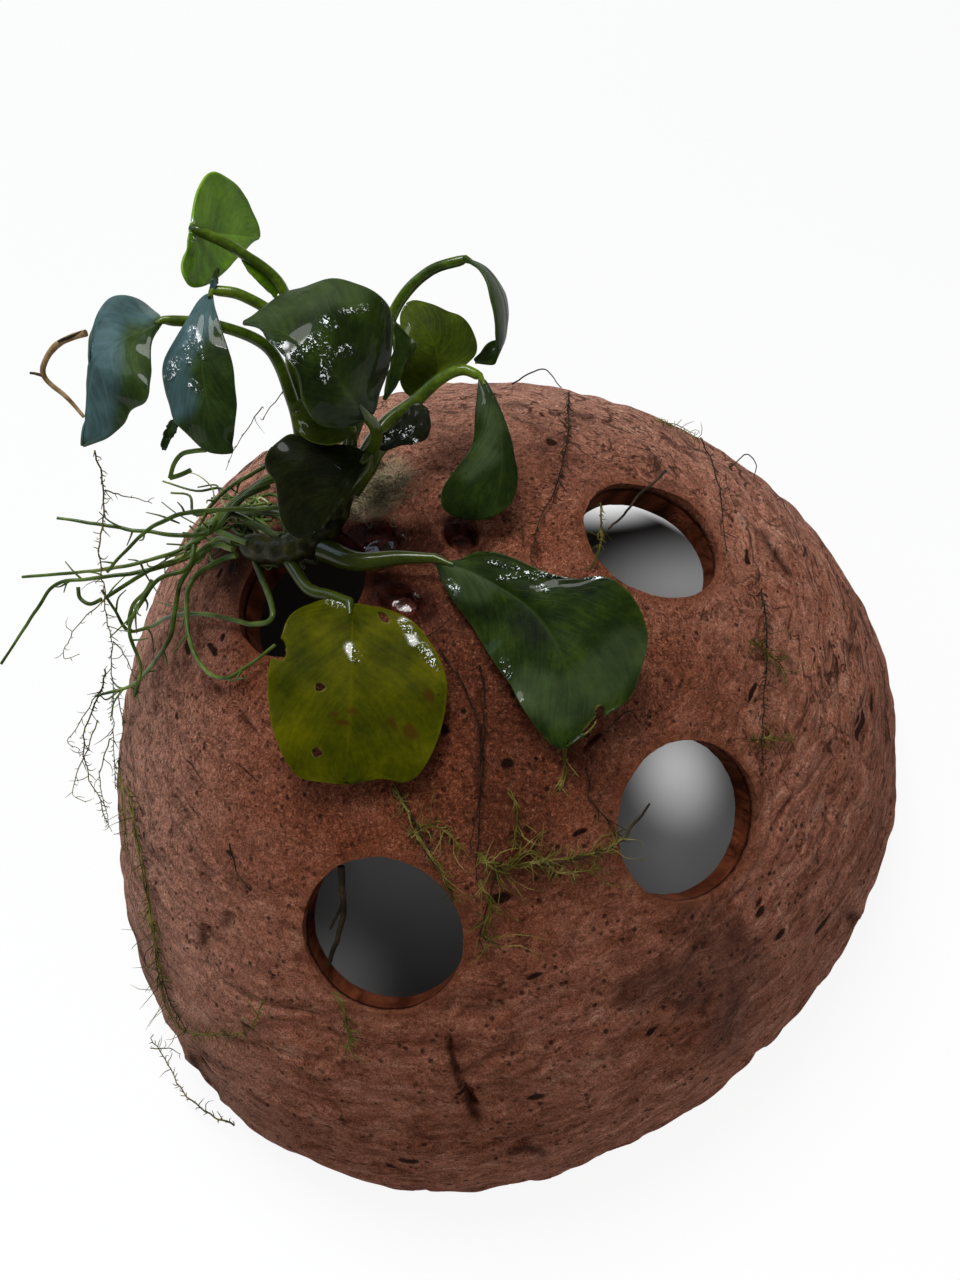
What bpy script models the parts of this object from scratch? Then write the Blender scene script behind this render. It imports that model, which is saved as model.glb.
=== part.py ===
"""Small anubias growing out of a drilled half coconut shell.

The shell stands on its sawn rim at z = 0 with its dome upward. Four round holes are drilled
through the dome. The plant's creeping stem lies across the hole beside the nut's three eyes,
and carries every leaf and root. Fine moss and one dead twig hang at the plant's side.
"""
import math

import bmesh
import bpy
from mathutils import Vector

MM = 0.001

# Shell: an ellipsoid that is slightly oval and slightly three-ridged, like the nut.
SHELL_RADIUS = 60 * MM
HEIGHT_RATIO = 0.956
WIDEST_HEIGHT = 1.75 * MM
OVAL, OVAL_TURN = 0.0213, math.radians(60.7)
RIDGE, RIDGE_TURN = 0.0341, math.radians(1.3)
CORNER = -0.0049
WALL = 4.8 * MM
OUTER_SEGMENTS, OUTER_RINGS = 64, 30
INNER_SEGMENTS, INNER_RINGS = 40, 20

# Drilled holes: turn around the dome and tilt from its top in degrees, then diameter.
HOLES = {
    "beside_eyes": (169.0, 23.0, 18.0 * MM),
    "back_right": (17.0, 23.5, 17.8 * MM),
    "front_right": (-51.9, 37.8, 18.8 * MM),
    "front_left": (-112.0, 42.3, 18.6 * MM),
}
# The nut's three eyes: turn, tilt, diameter and depth of each shallow pit.
EYES = {
    "blind_left": (136.0, 14.8, 6.0 * MM, 1.0 * MM),
    "blind_front": (-172.0, 8.8, 6.0 * MM, 1.0 * MM),
    "open_back": (100.0, 7.6, 5.4 * MM, 1.4 * MM),
}

# Viewpoint that the plant is laid out from: the photograph's own place, in pixels of a frame
# that is 960 wide and 1280 high, with the distance from the eye added as a third number.
EYE_PLACE = Vector((-0.50, -73.34, 184.58)) * MM
EYE_RIGHT = Vector((0.99513, -0.08735, -0.04566))
EYE_UP = Vector((0.09856, 0.88193, 0.46097))
EYE_BACK = Vector((0.0, -0.46322, 0.88624))
FOCAL_PIXELS = 1250
FRAME_CENTRE = (480, 640)

# Plant
STEM_RADIUS = 1.9 * MM
STALK_RADIUS = 0.55 * MM
BLADE_THICKNESS = 0.8 * MM
ROOT_RADIUS = 0.38 * MM
STRAND_RADIUS = 0.3 * MM
JOINT_GAP = 0.45 * MM
BLADE_STATIONS = 8
RING_POINTS = 8
STALK_STEPS = 2


def clear_scene():
    for obj in list(bpy.data.objects):
        bpy.data.objects.remove(obj, do_unlink=True)


def new_collection(name):
    collection = bpy.data.collections.new(name)
    bpy.context.scene.collection.children.link(collection)
    return collection


def new_material(name, colour, roughness):
    material = bpy.data.materials.new(name)
    material.use_nodes = True
    shader = material.node_tree.nodes["Principled BSDF"]
    shader.inputs["Base Color"].default_value = (*colour, 1)
    shader.inputs["Roughness"].default_value = roughness
    shader.inputs["Metallic"].default_value = 0
    return material


def mesh_object(name, mesh_data, collection, material=None):
    mesh = bpy.data.meshes.new(name)
    bmesh.ops.recalc_face_normals(mesh_data, faces=mesh_data.faces)
    mesh_data.to_mesh(mesh)
    mesh_data.free()
    obj = bpy.data.objects.new(name, mesh)
    collection.objects.link(obj)
    if material:
        mesh.materials.append(material)
        mesh.shade_smooth()
    return obj


def shell_radius(tilt, turn):
    """Distance from the shell's centre to its outside, tilt from the top and turn around it."""
    side = math.sin(tilt)
    ellipse = 1 / math.hypot(side, math.cos(tilt) / HEIGHT_RATIO)
    lobes = (1 + OVAL * side ** 2 * math.cos(2 * (turn - OVAL_TURN))
             + RIDGE * side ** 3 * math.cos(3 * (turn - RIDGE_TURN))
             + CORNER * side ** 4 * math.cos(4 * turn))
    return SHELL_RADIUS * ellipse * lobes


def shell_point(tilt, turn, inset=0.0):
    reach = shell_radius(tilt, turn) - inset
    return Vector((reach * math.sin(tilt) * math.cos(turn),
                   reach * math.sin(tilt) * math.sin(turn),
                   WIDEST_HEIGHT + reach * math.cos(tilt)))


def shell_normal(tilt, turn):
    step = 0.002
    down = shell_point(tilt + step, turn) - shell_point(tilt - step, turn)
    round_ = shell_point(tilt, turn + step) - shell_point(tilt, turn - step)
    return down.cross(round_).normalized()


def sight(x, y, distance):
    """Point seen at pixel x, y, the given number of millimetres in front of the eye."""
    ray = (-EYE_BACK + EYE_RIGHT * (x - FRAME_CENTRE[0]) / FOCAL_PIXELS
           - EYE_UP * (y - FRAME_CENTRE[1]) / FOCAL_PIXELS)
    return EYE_PLACE + ray * distance * MM


def over(x, y, height):
    """Point on the shell's outside seen at pixel x, y, raised by a height in millimetres."""
    near, far = 100.0, 215.0
    steps = 230
    for step in range(steps):
        distance = near + (far - near) * step / steps
        offset = sight(x, y, distance) - Vector((0, 0, WIDEST_HEIGHT))
        tilt, turn = offset.angle(Vector((0, 0, 1))), math.atan2(offset.y, offset.x)
        if offset.length <= shell_radius(tilt, turn):
            break
    return shell_point(tilt, turn) + shell_normal(tilt, turn) * height * MM


def smooth_path(points, steps):
    """Catmull-Rom path through the points, with the given steps between each pair."""
    padded = [points[0] * 2 - points[1], *points, points[-1] * 2 - points[-2]]
    path = []
    for a, b, c, d in zip(padded, padded[1:], padded[2:], padded[3:]):
        for step in range(steps):
            t = step / steps
            path.append(0.5 * (2 * b + (c - a) * t + (2 * a - 5 * b + 4 * c - d) * t ** 2
                               + (3 * b - a - 3 * c + d) * t ** 3))
    return path + [points[-1]]


def smooth_value(values, t):
    """Value at t from 0 to 1 along evenly spaced values, on the same kind of curve."""
    curve = smooth_path([Vector((value, 0)) for value in values], 8)
    return curve[round(t * (len(curve) - 1))].x


def ball_grid(segments, rings, inset):
    grid = bmesh.new()
    bmesh.ops.create_uvsphere(grid, u_segments=segments, v_segments=rings, radius=1)
    for vert in grid.verts:
        tilt = vert.co.angle(Vector((0, 0, 1)))
        vert.co = shell_point(tilt, math.atan2(vert.co.y, vert.co.x), inset)
    return grid


def add_cutter(name, shape, cutters):
    cutter = mesh_object(name, shape, cutters)
    cutter.hide_render = True
    cutter.display_type = "WIRE"
    return cutter


def cut(body, cutter):
    boolean = body.modifiers.new(cutter.name, "BOOLEAN")
    boolean.operation = "DIFFERENCE"
    boolean.solver = "EXACT"
    boolean.object = cutter


def place_along(shape, centre, direction):
    turn = Vector((0, 0, 1)).rotation_difference(direction).to_matrix().to_4x4()
    turn.translation = centre
    bmesh.ops.transform(shape, matrix=turn, verts=shape.verts)


def build_shell(parts, cutters):
    bark = new_material("coconut_husk_brown", (0.185, 0.070, 0.045), 0.72)
    shell = mesh_object("coconut_shell", ball_grid(OUTER_SEGMENTS, OUTER_RINGS, 0), parts, bark)
    cut(shell, add_cutter("hollow", ball_grid(INNER_SEGMENTS, INNER_RINGS, WALL), cutters))

    below = bmesh.new()
    bmesh.ops.create_cube(below, size=4 * SHELL_RADIUS)
    bmesh.ops.translate(below, verts=below.verts, vec=(0, 0, -2 * SHELL_RADIUS))
    cut(shell, add_cutter("saw_cut", below, cutters))

    for name, (turn, tilt, diameter) in HOLES.items():
        turn, tilt = math.radians(turn), math.radians(tilt)
        drill = bmesh.new()
        bmesh.ops.create_cone(drill, cap_ends=True, segments=32, radius1=diameter / 2,
                              radius2=diameter / 2, depth=4 * WALL)
        place_along(drill, shell_point(tilt, turn), shell_normal(tilt, turn))
        cut(shell, add_cutter("hole_" + name, drill, cutters))

    for name, (turn, tilt, diameter, depth) in EYES.items():
        turn, tilt = math.radians(turn), math.radians(tilt)
        ball_radius = (diameter ** 2 / 4 + depth ** 2) / (2 * depth)
        pit = bmesh.new()
        bmesh.ops.create_icosphere(pit, subdivisions=3, radius=ball_radius)
        place_along(pit, shell_point(tilt, turn, depth - ball_radius), shell_normal(tilt, turn))
        cut(shell, add_cutter("eye_" + name, pit, cutters))
    return shell


def loft(name, rings, parts, material):
    """Closed skin through rings of points, with a flat end on the first and the last ring."""
    skin = bmesh.new()
    rows = [[skin.verts.new(point) for point in ring] for ring in rings]
    for low, high in zip(rows, rows[1:]):
        for k in range(len(low)):
            skin.faces.new((low[k - 1], low[k], high[k], high[k - 1]))
    skin.faces.new(rows[0])
    skin.faces.new(rows[-1])
    return mesh_object(name, skin, parts, material)


def ring_frame(path, index, facing):
    ahead = path[min(index + 1, len(path) - 1)] - path[max(index - 1, 0)]
    ahead.normalize()
    side = ahead.cross(facing).normalized()
    return side, side.cross(ahead)


def view_direction(right, up, toward):
    return (EYE_RIGHT * right + EYE_UP * up + EYE_BACK * toward).normalized()


def build_leaf(name, leaf, parts):
    """One leaf: a round stalk that runs on into a thin blade, grown as one piece."""
    stalk = smooth_path(leaf["stalk"], STALK_STEPS)
    rib = smooth_path(leaf["rib"], 8)
    facing = view_direction(*leaf["facing"])
    thick = leaf.get("thick_base", STALK_RADIUS)
    material = new_material(name + "_green", leaf["colour"], 0.28)
    rings = []
    for index, centre in enumerate(stalk[:-1]):
        side, out = ring_frame(stalk, index, facing)
        radius = thick + (STALK_RADIUS - thick) * min(1, 1.6 * index / len(stalk))
        rings.append([centre + (side * math.cos(a) + out * math.sin(a)) * radius
                      for a in ring_angles()])
    last = len(rib) - 1
    for station in range(BLADE_STATIONS):
        t = station / (BLADE_STATIONS - 1)
        index = round(t * last)
        side, out = ring_frame(rib, index, facing)
        left = max(smooth_value(leaf["left"], t), 0.25) * MM
        right = max(smooth_value(leaf["right"], t), 0.25) * MM
        half = BLADE_THICKNESS / 2 * (1 if 0 < station < BLADE_STATIONS - 1 else 0.6)
        if station == 0:
            left = right = half = STALK_RADIUS
        ahead = out.cross(side)
        ring = []
        for a in ring_angles():
            across = math.cos(a) * (right if math.cos(a) > 0 else left)
            lift = leaf["cup"] * across ** 2 / (left + right) if station else 0
            back = leaf["sweep"] * MM * math.cos(a) ** 2 * (1 - t) ** 2 if station else 0
            ring.append(rib[index] + side * across + out * (math.sin(a) * half + lift)
                        - ahead * back)
        rings.append(ring)
    return loft(name, rings, parts, material)


def ring_angles():
    return [2 * math.pi * k / RING_POINTS for k in range(RING_POINTS)]


def build_tube(name, points, radius, parts, material, tip=0.5):
    """Thin root or strand: a tube along a smooth path, thinner at its free end."""
    data = bpy.data.curves.new(name, "CURVE")
    data.dimensions = "3D"
    data.bevel_depth = radius
    data.bevel_resolution = 1
    data.use_fill_caps = True
    path = smooth_path(points, 3)
    line = data.splines.new("POLY")
    line.points.add(len(path) - 1)
    for index, (knot, place) in enumerate(zip(line.points, path)):
        knot.co = (*place, 1)
        knot.radius = 1 - (1 - tip) * index / (len(path) - 1)
    data.materials.append(material)
    tube = bpy.data.objects.new(name, data)
    parts.objects.link(tube)
    return tube


# Creeping stem, from its old end at the left to the growing end behind the shaded leaf.
STEM = [over(258, 556, 2.35), over(292, 560, 2.2), over(322, 552, 2.6),
        sight(336, 512, 149.0), sight(344, 472, 147.5)]


def bud(along, right, up, toward, clear=0.0):
    """Point just off the stem's side, at a fraction of its length and in a view direction."""
    path = smooth_path(STEM, 6)
    centre = path[round(along * (len(path) - 1))]
    return centre + view_direction(right, up, toward) * (STEM_RADIUS + JOINT_GAP + clear)


DARK = (0.012, 0.045, 0.012)
BLUE_GREEN = (0.015, 0.050, 0.038)
BRIGHT = (0.060, 0.190, 0.020)
YELLOW_GREEN = (0.115, 0.140, 0.008)

# Each leaf has its stalk, then the rib of its blade, the blade's half-widths in millimetres
# from stalk to tip on the leaf's own left and right, how far the lobes beside the stalk sweep
# back, the way its face looks (right, up, toward the eye) and how much it is cupped.
LEAVES = {
    "leaf_back_bright": dict(
        stalk=[bud(0.93, -0.8, 0.5, -0.3), sight(310, 430, 148.5), sight(292, 370, 145),
               sight(284, 292, 141), sight(240, 252, 138.5), sight(193, 226, 137)],
        rib=[sight(193, 226, 137), sight(214, 229, 141), sight(238, 234, 145),
             sight(257, 238, 148.5)],
        left=(0.6, 5.4, 6.0, 3.8, 0.3), right=(0.6, 6.2, 6.2, 3.0, 0.3), sweep=2.8,
        facing=(0.85, 0, 0.52), cup=0.2, colour=BRIGHT),
    "leaf_far_left": dict(
        stalk=[bud(0.84, -0.97, 0.2, 0.1), sight(306, 456, 146), sight(292, 400, 144),
               sight(262, 346, 141.5), sight(215, 327, 139), sight(163, 320, 137)],
        rib=[sight(163, 320, 137), sight(137, 334, 135.5), sight(113, 364, 135.5),
             sight(98, 406, 137), sight(85, 446, 138.5)],
        left=(0.5, 2.6, 3.3, 2.2, 0.25), right=(0.5, 6.2, 5.0, 2.4, 0.25), sweep=3.2,
        facing=(-0.35, 0.35, 0.87), cup=-0.3, colour=BLUE_GREEN),
    "leaf_left": dict(
        stalk=[bud(0.92, -0.55, 0.2, 0.8), sight(320, 440, 143.3), sight(302, 380, 141.5),
               sight(276, 330, 139.5), sight(240, 297, 138), sight(213, 288, 137.5)],
        rib=[sight(213, 288, 137.5), sight(203, 318, 135), sight(199, 362, 134),
             sight(208, 412, 135), sight(233, 452, 137.5)],
        left=(0.4, 2.2, 4.0, 3.4, 0.25), right=(0.4, 3.2, 4.4, 3.4, 0.25), sweep=0.6,
        facing=(-0.15, 0.35, 0.92), cup=-0.4, colour=BLUE_GREEN),
    "leaf_centre": dict(
        stalk=[bud(0.97, 0.4, 0.3, 0.85), sight(376, 444, 141.5), sight(390, 422, 138.5),
               sight(390, 400, 135.5)],
        rib=[sight(390, 400, 135.5), sight(364, 376, 131.5), sight(326, 352, 129.5),
             sight(284, 335, 130.5), sight(247, 322, 134)],
        left=(0.6, 7.8, 7.6, 2.8, 0.3), right=(0.6, 9.6, 11.0, 7.4, 0.3), sweep=2.2,
        facing=(0.05, 0.35, 0.93), cup=-0.25, colour=DARK),
    "leaf_behind_right": dict(
        stalk=[bud(0.97, 0.9, 0.3, -0.45), sight(384, 448, 153), sight(404, 420, 153),
               sight(424, 392, 152)],
        rib=[sight(424, 392, 152), sight(432, 362, 150), sight(438, 330, 149.5),
             sight(440, 301, 151)],
        left=(0.5, 3.9, 4.8, 3.8, 0.4), right=(0.5, 3.8, 4.8, 4.0, 0.4), sweep=1,
        facing=(0.1, 0.3, 0.95), cup=-0.2, colour=BRIGHT),
    "leaf_arching": dict(
        stalk=[bud(1.0, -0.1, 1.0, -0.1), sight(358, 420, 147), sight(378, 352, 145.5),
               sight(402, 300, 143.5), sight(438, 269, 141.5), sight(469, 256, 140.5)],
        rib=[sight(469, 256, 140.5), sight(492, 276, 140), sight(507, 312, 140.5),
             sight(502, 345, 142), sight(479, 362, 144)],
        left=(0.4, 2.6, 4.0, 2.8, 0.25), right=(0.4, 2.4, 3.6, 2.6, 0.25), sweep=0.5,
        facing=(0.93, 0.33, 0.15), cup=-0.35, colour=DARK),
    "leaf_over_eye": dict(
        stalk=[bud(0.98, 0.9, 0.35, 0.0), sight(380, 442, 149.5), sight(412, 402, 149.5),
               sight(444, 378, 149), sight(476, 371, 148)],
        rib=[sight(476, 371, 148), sight(490, 400, 146.8), sight(491, 440, 146.3),
             sight(482, 484, 146), sight(470, 518, 146)],
        left=(0.5, 1.3, 2.9, 4.1, 2.2), right=(0.5, 1.7, 3.2, 4.6, 2.2), sweep=0.4,
        facing=(0.05, 0.15, 0.98), cup=-0.25, colour=DARK),
    "leaf_small_round": dict(
        stalk=[bud(0.94, -0.3, 0.6, 0.6), sight(350, 452, 144.5), sight(354, 435, 142.5)],
        rib=[sight(354, 435, 142.5), sight(336, 428, 140.3), sight(314, 421, 140),
             sight(294, 413, 140.8)],
        left=(0.5, 1.9, 2.2, 1.4, 0.3), right=(0.5, 1.7, 2.0, 1.4, 0.3), sweep=0.3,
        facing=(0, 0.3, 0.95), cup=-0.2, colour=BRIGHT),
    "leaf_shaded": dict(
        stalk=[bud(0.86, 0.5, -0.1, 0.9), sight(362, 474, 143), sight(369, 456, 141.5)],
        rib=[sight(369, 456, 141.5), sight(347, 480, 140.3), sight(328, 506, 140.5),
             sight(309, 538, 142.5)],
        left=(0.5, 1.4, 1.8, 1.4, 0.3), right=(0.5, 8.4, 10.4, 7.6, 0.4), sweep=0.3,
        facing=(-0.1, 0.1, 0.98), cup=-0.12, colour=DARK),
    "leaf_small_dark": dict(
        stalk=[bud(0.88, 0.95, 0.0, 0.35), sight(376, 460, 146), sight(385, 442, 144.5)],
        rib=[sight(385, 442, 144.5), sight(402, 430, 143.6), sight(416, 418, 143.6),
             sight(430, 405, 144.5)],
        left=(0.4, 1.6, 1.9, 1.3, 0.25), right=(0.4, 1.4, 1.7, 1.2, 0.25), sweep=0.3,
        facing=(0, 0.2, 0.97), cup=-0.2, colour=DARK),
    "leaf_right": dict(
        stalk=[bud(0.5, 0.75, -0.6, 0.35, 0.6 * MM), over(368, 573, 2.6), over(402, 568, 2.4),
               over(438, 569, 2.4)],
        rib=[over(438, 569, 2.4), over(486, 591, 3.4), over(536, 626, 4.2),
             over(568, 680, 4.0), over(572, 749, 2.6)],
        left=(0.6, 3.8, 7.8, 8.4, 1.2), right=(0.6, 5.6, 8.2, 7.4, 1.0), sweep=0.6,
        facing=(0, -0.1, 1), cup=-0.2, thick_base=1.1 * MM, colour=DARK),
    "leaf_yellow": dict(
        stalk=[bud(0.28, 0.2, -0.95, 0.15), over(316, 596, 1.9), over(338, 604, 2.2),
               over(358, 610, 2.6)],
        rib=[over(358, 610, 2.6), over(365, 650, 3.4), over(365, 700, 3.6),
             over(361, 745, 3.2), over(356, 783, 2.4)],
        left=(0.6, 8.9, 10.2, 9.4, 4.6), right=(0.6, 9.2, 10.3, 8.6, 4.6), sweep=0.8,
        facing=(-0.1, -0.1, 0.99), cup=-0.12, colour=YELLOW_GREEN),
}

# Roots run left from the stem, over the dome's shoulder and out past it.
ROOTS = {
    "root_long_upper": [bud(0.5, -0.73, 0.65, 0.2), over(292, 530, 3.4), over(232, 531, 2.8),
                        sight(188, 545, 160), sight(150, 560, 159.5), sight(100, 570, 159),
                        sight(22, 577, 159)],
    "root_longest": [bud(0.0, -1, 0.3, 0.0), over(228, 547, 1.8), sight(190, 556, 163.5),
                     sight(150, 570, 162.5), sight(104, 577, 162), sight(57, 584, 162),
                     sight(38, 608, 162), sight(1, 664, 162)],
    "root_upper_left": [bud(0.25, -0.1, 0.9, 0.4), over(252, 536, 5.2), sight(204, 534, 154.5),
                        sight(150, 532, 154.5), sight(100, 524, 154.5), sight(57, 518, 154.5)],
    "root_top": [bud(0.68, -0.93, 0.3, 0.25), sight(300, 506, 150), sight(262, 509, 151),
                 sight(200, 511, 151.5), sight(160, 522, 151.5), sight(130, 546, 152),
                 sight(107, 572, 153)],
    "root_low": [bud(0.1, -0.3, -0.9, -0.2), over(280, 618, 1.4), over(258, 628, 1.2),
                 over(222, 619, 1.2), over(186, 620, 1.6), sight(150, 627, 166),
                 sight(128, 630, 165), sight(116, 612, 164), sight(102, 590, 163.5)],
    "root_loop": [bud(0.0, -0.7, -0.7, -0.1), over(230, 572, 2.4), over(208, 590, 2.6),
                  over(204, 628, 2.8), over(206, 664, 1.3), over(226, 680, 1.0),
                  over(250, 671, 1.0), over(280, 648, 1.0)],
    "root_lower_left": [bud(0.0, -0.9, -0.3, 0.4), over(230, 562, 3.6), over(208, 600, 4.4),
                        over(190, 645, 3.0), over(160, 674, 1.8), sight(130, 686, 165.5),
                        sight(95, 696, 164.5)],
    "root_hanging": [bud(0.08, -0.7, 0.3, 0.75), over(232, 553, 5.6), sight(190, 565, 156.5),
                     sight(158, 580, 156), sight(143, 600, 156), sight(129, 628, 157),
                     sight(141, 666, 158), over(162, 703, 3.8)],
    "root_dark": [bud(0.97, -0.55, 0.25, -0.8), sight(318, 452, 153), sight(298, 440, 153.5),
                  sight(272, 462, 154.5), sight(240, 481, 156.5), sight(215, 501, 159),
                  sight(199, 526, 161)],
}

# Dead twig and moss: thin strands beside the plant and against the shell's rim.
STRANDS = {
    "dead_twig": [sight(86, 333, 138.0), sight(62, 341, 139), sight(46, 360, 140),
                  sight(45, 377, 140.5), sight(65, 396, 141), sight(84, 417, 141.5)],
    "moss_hanging": [sight(94, 450, 139.8), sight(103, 480, 142), sight(102, 520, 146),
                     sight(99, 550, 150.5), sight(104, 592, 156), sight(110, 640, 162),
                     sight(113, 690, 166.5), sight(113, 740, 168.5), sight(116, 790, 170.5)],
    "moss_tuft": [sight(106, 668, 166.5), sight(98, 700, 168), sight(84, 742, 169),
                  sight(90, 780, 171), sight(108, 824, 173)],
    "moss_at_rim": [sight(234, 1123, 171.2), sight(208, 1114, 172.4), sight(184, 1093, 175.2),
                    sight(164, 1060, 177.8), sight(151, 1036, 180)],
}


def settle(parts):
    """Centre the whole thing over the origin, its lowest point at z = 0."""
    bpy.context.view_layer.update()
    graph = bpy.context.evaluated_depsgraph_get()
    corners = []
    for obj in parts.objects:
        mesh = obj.evaluated_get(graph).to_mesh()
        corners += [vert.co.copy() for vert in mesh.vertices]
    low = [min(c[k] for c in corners) for k in range(3)]
    high = [max(c[k] for c in corners) for k in range(3)]
    return Vector((-(low[0] + high[0]) / 2, -(low[1] + high[1]) / 2, -low[2]))


clear_scene()
parts = new_collection("anubias_on_coconut_shell")
cutters = new_collection("cutters")
build_shell(parts, cutters)
build_tube("creeping_stem", STEM, STEM_RADIUS, parts,
           new_material("stem_olive", (0.045, 0.055, 0.015), 0.45), tip=0.8)
for name, leaf in LEAVES.items():
    build_leaf(name, leaf, parts)
for name, points in ROOTS.items():
    build_tube(name, points, ROOT_RADIUS, parts,
               new_material(name + "_green", (0.080, 0.150, 0.025), 0.4))
for name, points in STRANDS.items():
    build_tube(name, points, STRAND_RADIUS, parts,
               new_material(name + "_brown", (0.090, 0.070, 0.025), 0.7))

shift = settle(parts)
for obj in list(parts.objects) + list(cutters.objects):
    obj.location += shift
print("moved to the origin by", [round(v / MM, 2) for v in shift], "mm")
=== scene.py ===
# A small anubias on a drilled half coconut shell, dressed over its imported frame.
import math
import random

import bmesh
import bpy
import numpy as np
from mathutils import Matrix, Vector, kdtree, noise


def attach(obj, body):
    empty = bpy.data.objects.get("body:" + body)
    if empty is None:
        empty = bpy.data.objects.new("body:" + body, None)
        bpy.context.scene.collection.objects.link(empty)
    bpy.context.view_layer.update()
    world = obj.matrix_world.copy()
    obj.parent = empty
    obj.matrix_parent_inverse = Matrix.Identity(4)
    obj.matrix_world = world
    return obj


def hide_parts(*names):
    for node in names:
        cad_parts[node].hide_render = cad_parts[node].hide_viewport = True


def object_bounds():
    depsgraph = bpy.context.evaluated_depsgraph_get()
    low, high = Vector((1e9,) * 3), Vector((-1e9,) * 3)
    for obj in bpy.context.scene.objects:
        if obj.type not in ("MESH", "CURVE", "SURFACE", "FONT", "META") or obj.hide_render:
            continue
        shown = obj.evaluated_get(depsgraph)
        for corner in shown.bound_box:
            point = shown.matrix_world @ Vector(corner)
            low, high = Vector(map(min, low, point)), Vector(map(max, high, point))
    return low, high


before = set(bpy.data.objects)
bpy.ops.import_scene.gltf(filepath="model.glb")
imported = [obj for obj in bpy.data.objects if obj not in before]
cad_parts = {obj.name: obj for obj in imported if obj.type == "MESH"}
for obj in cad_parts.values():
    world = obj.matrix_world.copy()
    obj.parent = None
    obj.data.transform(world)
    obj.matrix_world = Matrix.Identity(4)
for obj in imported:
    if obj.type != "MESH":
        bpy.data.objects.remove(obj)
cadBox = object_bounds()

mm = 0.001
# without a seed of its own, the vector noise starts from the clock and changes on each run
noise.seed_set(7)

# the place the plant is laid out from: sight lines run through pixels of a 960 by 1280 frame, and
# what they look for lies between the near and the far distance in mm
lookout = dict(place=Vector((0.32, -73.00, 184.58)) * mm, right=Vector((0.99513, -0.08735, -0.04566)),
               up=Vector((0.09856, 0.88193, 0.46097)), back=Vector((0.0, -0.46322, 0.88624)),
               focal=1250, middle=(480, 640), sensor=36, nearFar=(100.0, 215.0))

# the nut: an ellipsoid, slightly oval and slightly three-ridged
nut = dict(radius=60 * mm, heightRatio=0.956, centre=Vector((0.82, 0.34, 1.75)) * mm,
           oval=0.0213, ovalTurn=math.radians(60.7), ridge=0.0341, ridgeTurn=math.radians(1.3),
           corner=-0.0049, wall=4.8 * mm, poleTilt=math.radians(9), poleTurn=math.radians(150))


def shellReach(tilt, turn):
    side = np.sin(tilt)
    ellipse = 1 / np.hypot(side, np.cos(tilt) / nut["heightRatio"])
    lobes = (1 + nut["oval"] * side ** 2 * np.cos(2 * (turn - nut["ovalTurn"]))
             + nut["ridge"] * side ** 3 * np.cos(3 * (turn - nut["ridgeTurn"]))
             + nut["corner"] * side ** 4 * np.cos(4 * turn))
    return nut["radius"] * ellipse * lobes


def shellPoint(tilt, turn, inset=0.0):
    reach = shellReach(tilt, turn) - inset
    return nut["centre"] + Vector((math.sin(tilt) * math.cos(turn), math.sin(tilt) * math.sin(turn),
                                   math.cos(tilt))) * reach


def shellNormal(tilt, turn):
    step = 0.002
    down = shellPoint(tilt + step, turn) - shellPoint(tilt - step, turn)
    across = shellPoint(tilt, turn + step) - shellPoint(tilt, turn - step)
    return down.cross(across).normalized()


# the place a pixel shows at a distance in mm along the camera's axis
def sight(x, y, distance):
    ray = (-lookout["back"] + lookout["right"] * (x - lookout["middle"][0]) / lookout["focal"]
           - lookout["up"] * (y - lookout["middle"][1]) / lookout["focal"])
    return lookout["place"] + ray * distance * mm


# the place where a pixel's sight line first meets the nut, lifted by a height in mm
def over(x, y, height=0.0):
    near, far = lookout["nearFar"]
    for pieces in (60, 40, 20):
        for step in range(pieces + 1):
            distance = near + (far - near) * step / pieces
            offset = sight(x, y, distance) - nut["centre"]
            tilt, turn = offset.angle(Vector((0, 0, 1))), math.atan2(offset.y, offset.x)
            if offset.length <= shellReach(tilt, turn):
                break
        near, far = distance - (far - near) / pieces, distance
    return shellPoint(tilt, turn) + shellNormal(tilt, turn) * height * mm


# a path of places given as pixel and distance, or as pixel and height over the shell. A place that
# is a point already stays as it is
def sightPath(*places):
    return [place if isinstance(place, Vector) else sight(*place) for place in places]


def shellPath(*places):
    return [over(*place) for place in places]


def viewDirection(right, up, toward):
    return (lookout["right"] * right + lookout["up"] * up + lookout["back"] * toward).normalized()


# pixels at which an array of points, in metres, shows from the lookout
def seen(points):
    away = points - np.array(lookout["place"])
    depth = -(away @ np.array(lookout["back"]))
    x = away @ np.array(lookout["right"]) / depth * lookout["focal"] + lookout["middle"][0]
    y = lookout["middle"][1] - away @ np.array(lookout["up"]) / depth * lookout["focal"]
    return np.stack([x, y], axis=1)


def smoothPath(points, steps):
    padded = [points[0] * 2 - points[1], *points, points[-1] * 2 - points[-2]]
    path = []
    for a, b, c, d in zip(padded, padded[1:], padded[2:], padded[3:]):
        for step in range(steps):
            t = step / steps
            path.append(0.5 * (2 * b + (c - a) * t + (2 * a - 5 * b + 4 * c - d) * t ** 2
                               + (3 * b - a - 3 * c + d) * t ** 3))
    return path + [points[-1]]


def smoothValue(values, t):
    spans = len(values) - 1
    k = min(int(t * spans), spans - 1)
    f = t * spans - k
    padded = [2 * values[0] - values[1], *values, 2 * values[-1] - values[-2]]
    a, b, c, d = padded[k:k + 4]
    return 0.5 * (2 * b + (c - a) * f + (2 * a - 5 * b + 4 * c - d) * f ** 2
                  + (3 * b - a - 3 * c + d) * f ** 3)


# smooth step from 0 at low to 1 at high, on numbers and arrays
def between(value, low, high):
    t = np.clip((value - low) / (high - low), 0, 1)
    return t * t * (3 - 2 * t)


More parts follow.
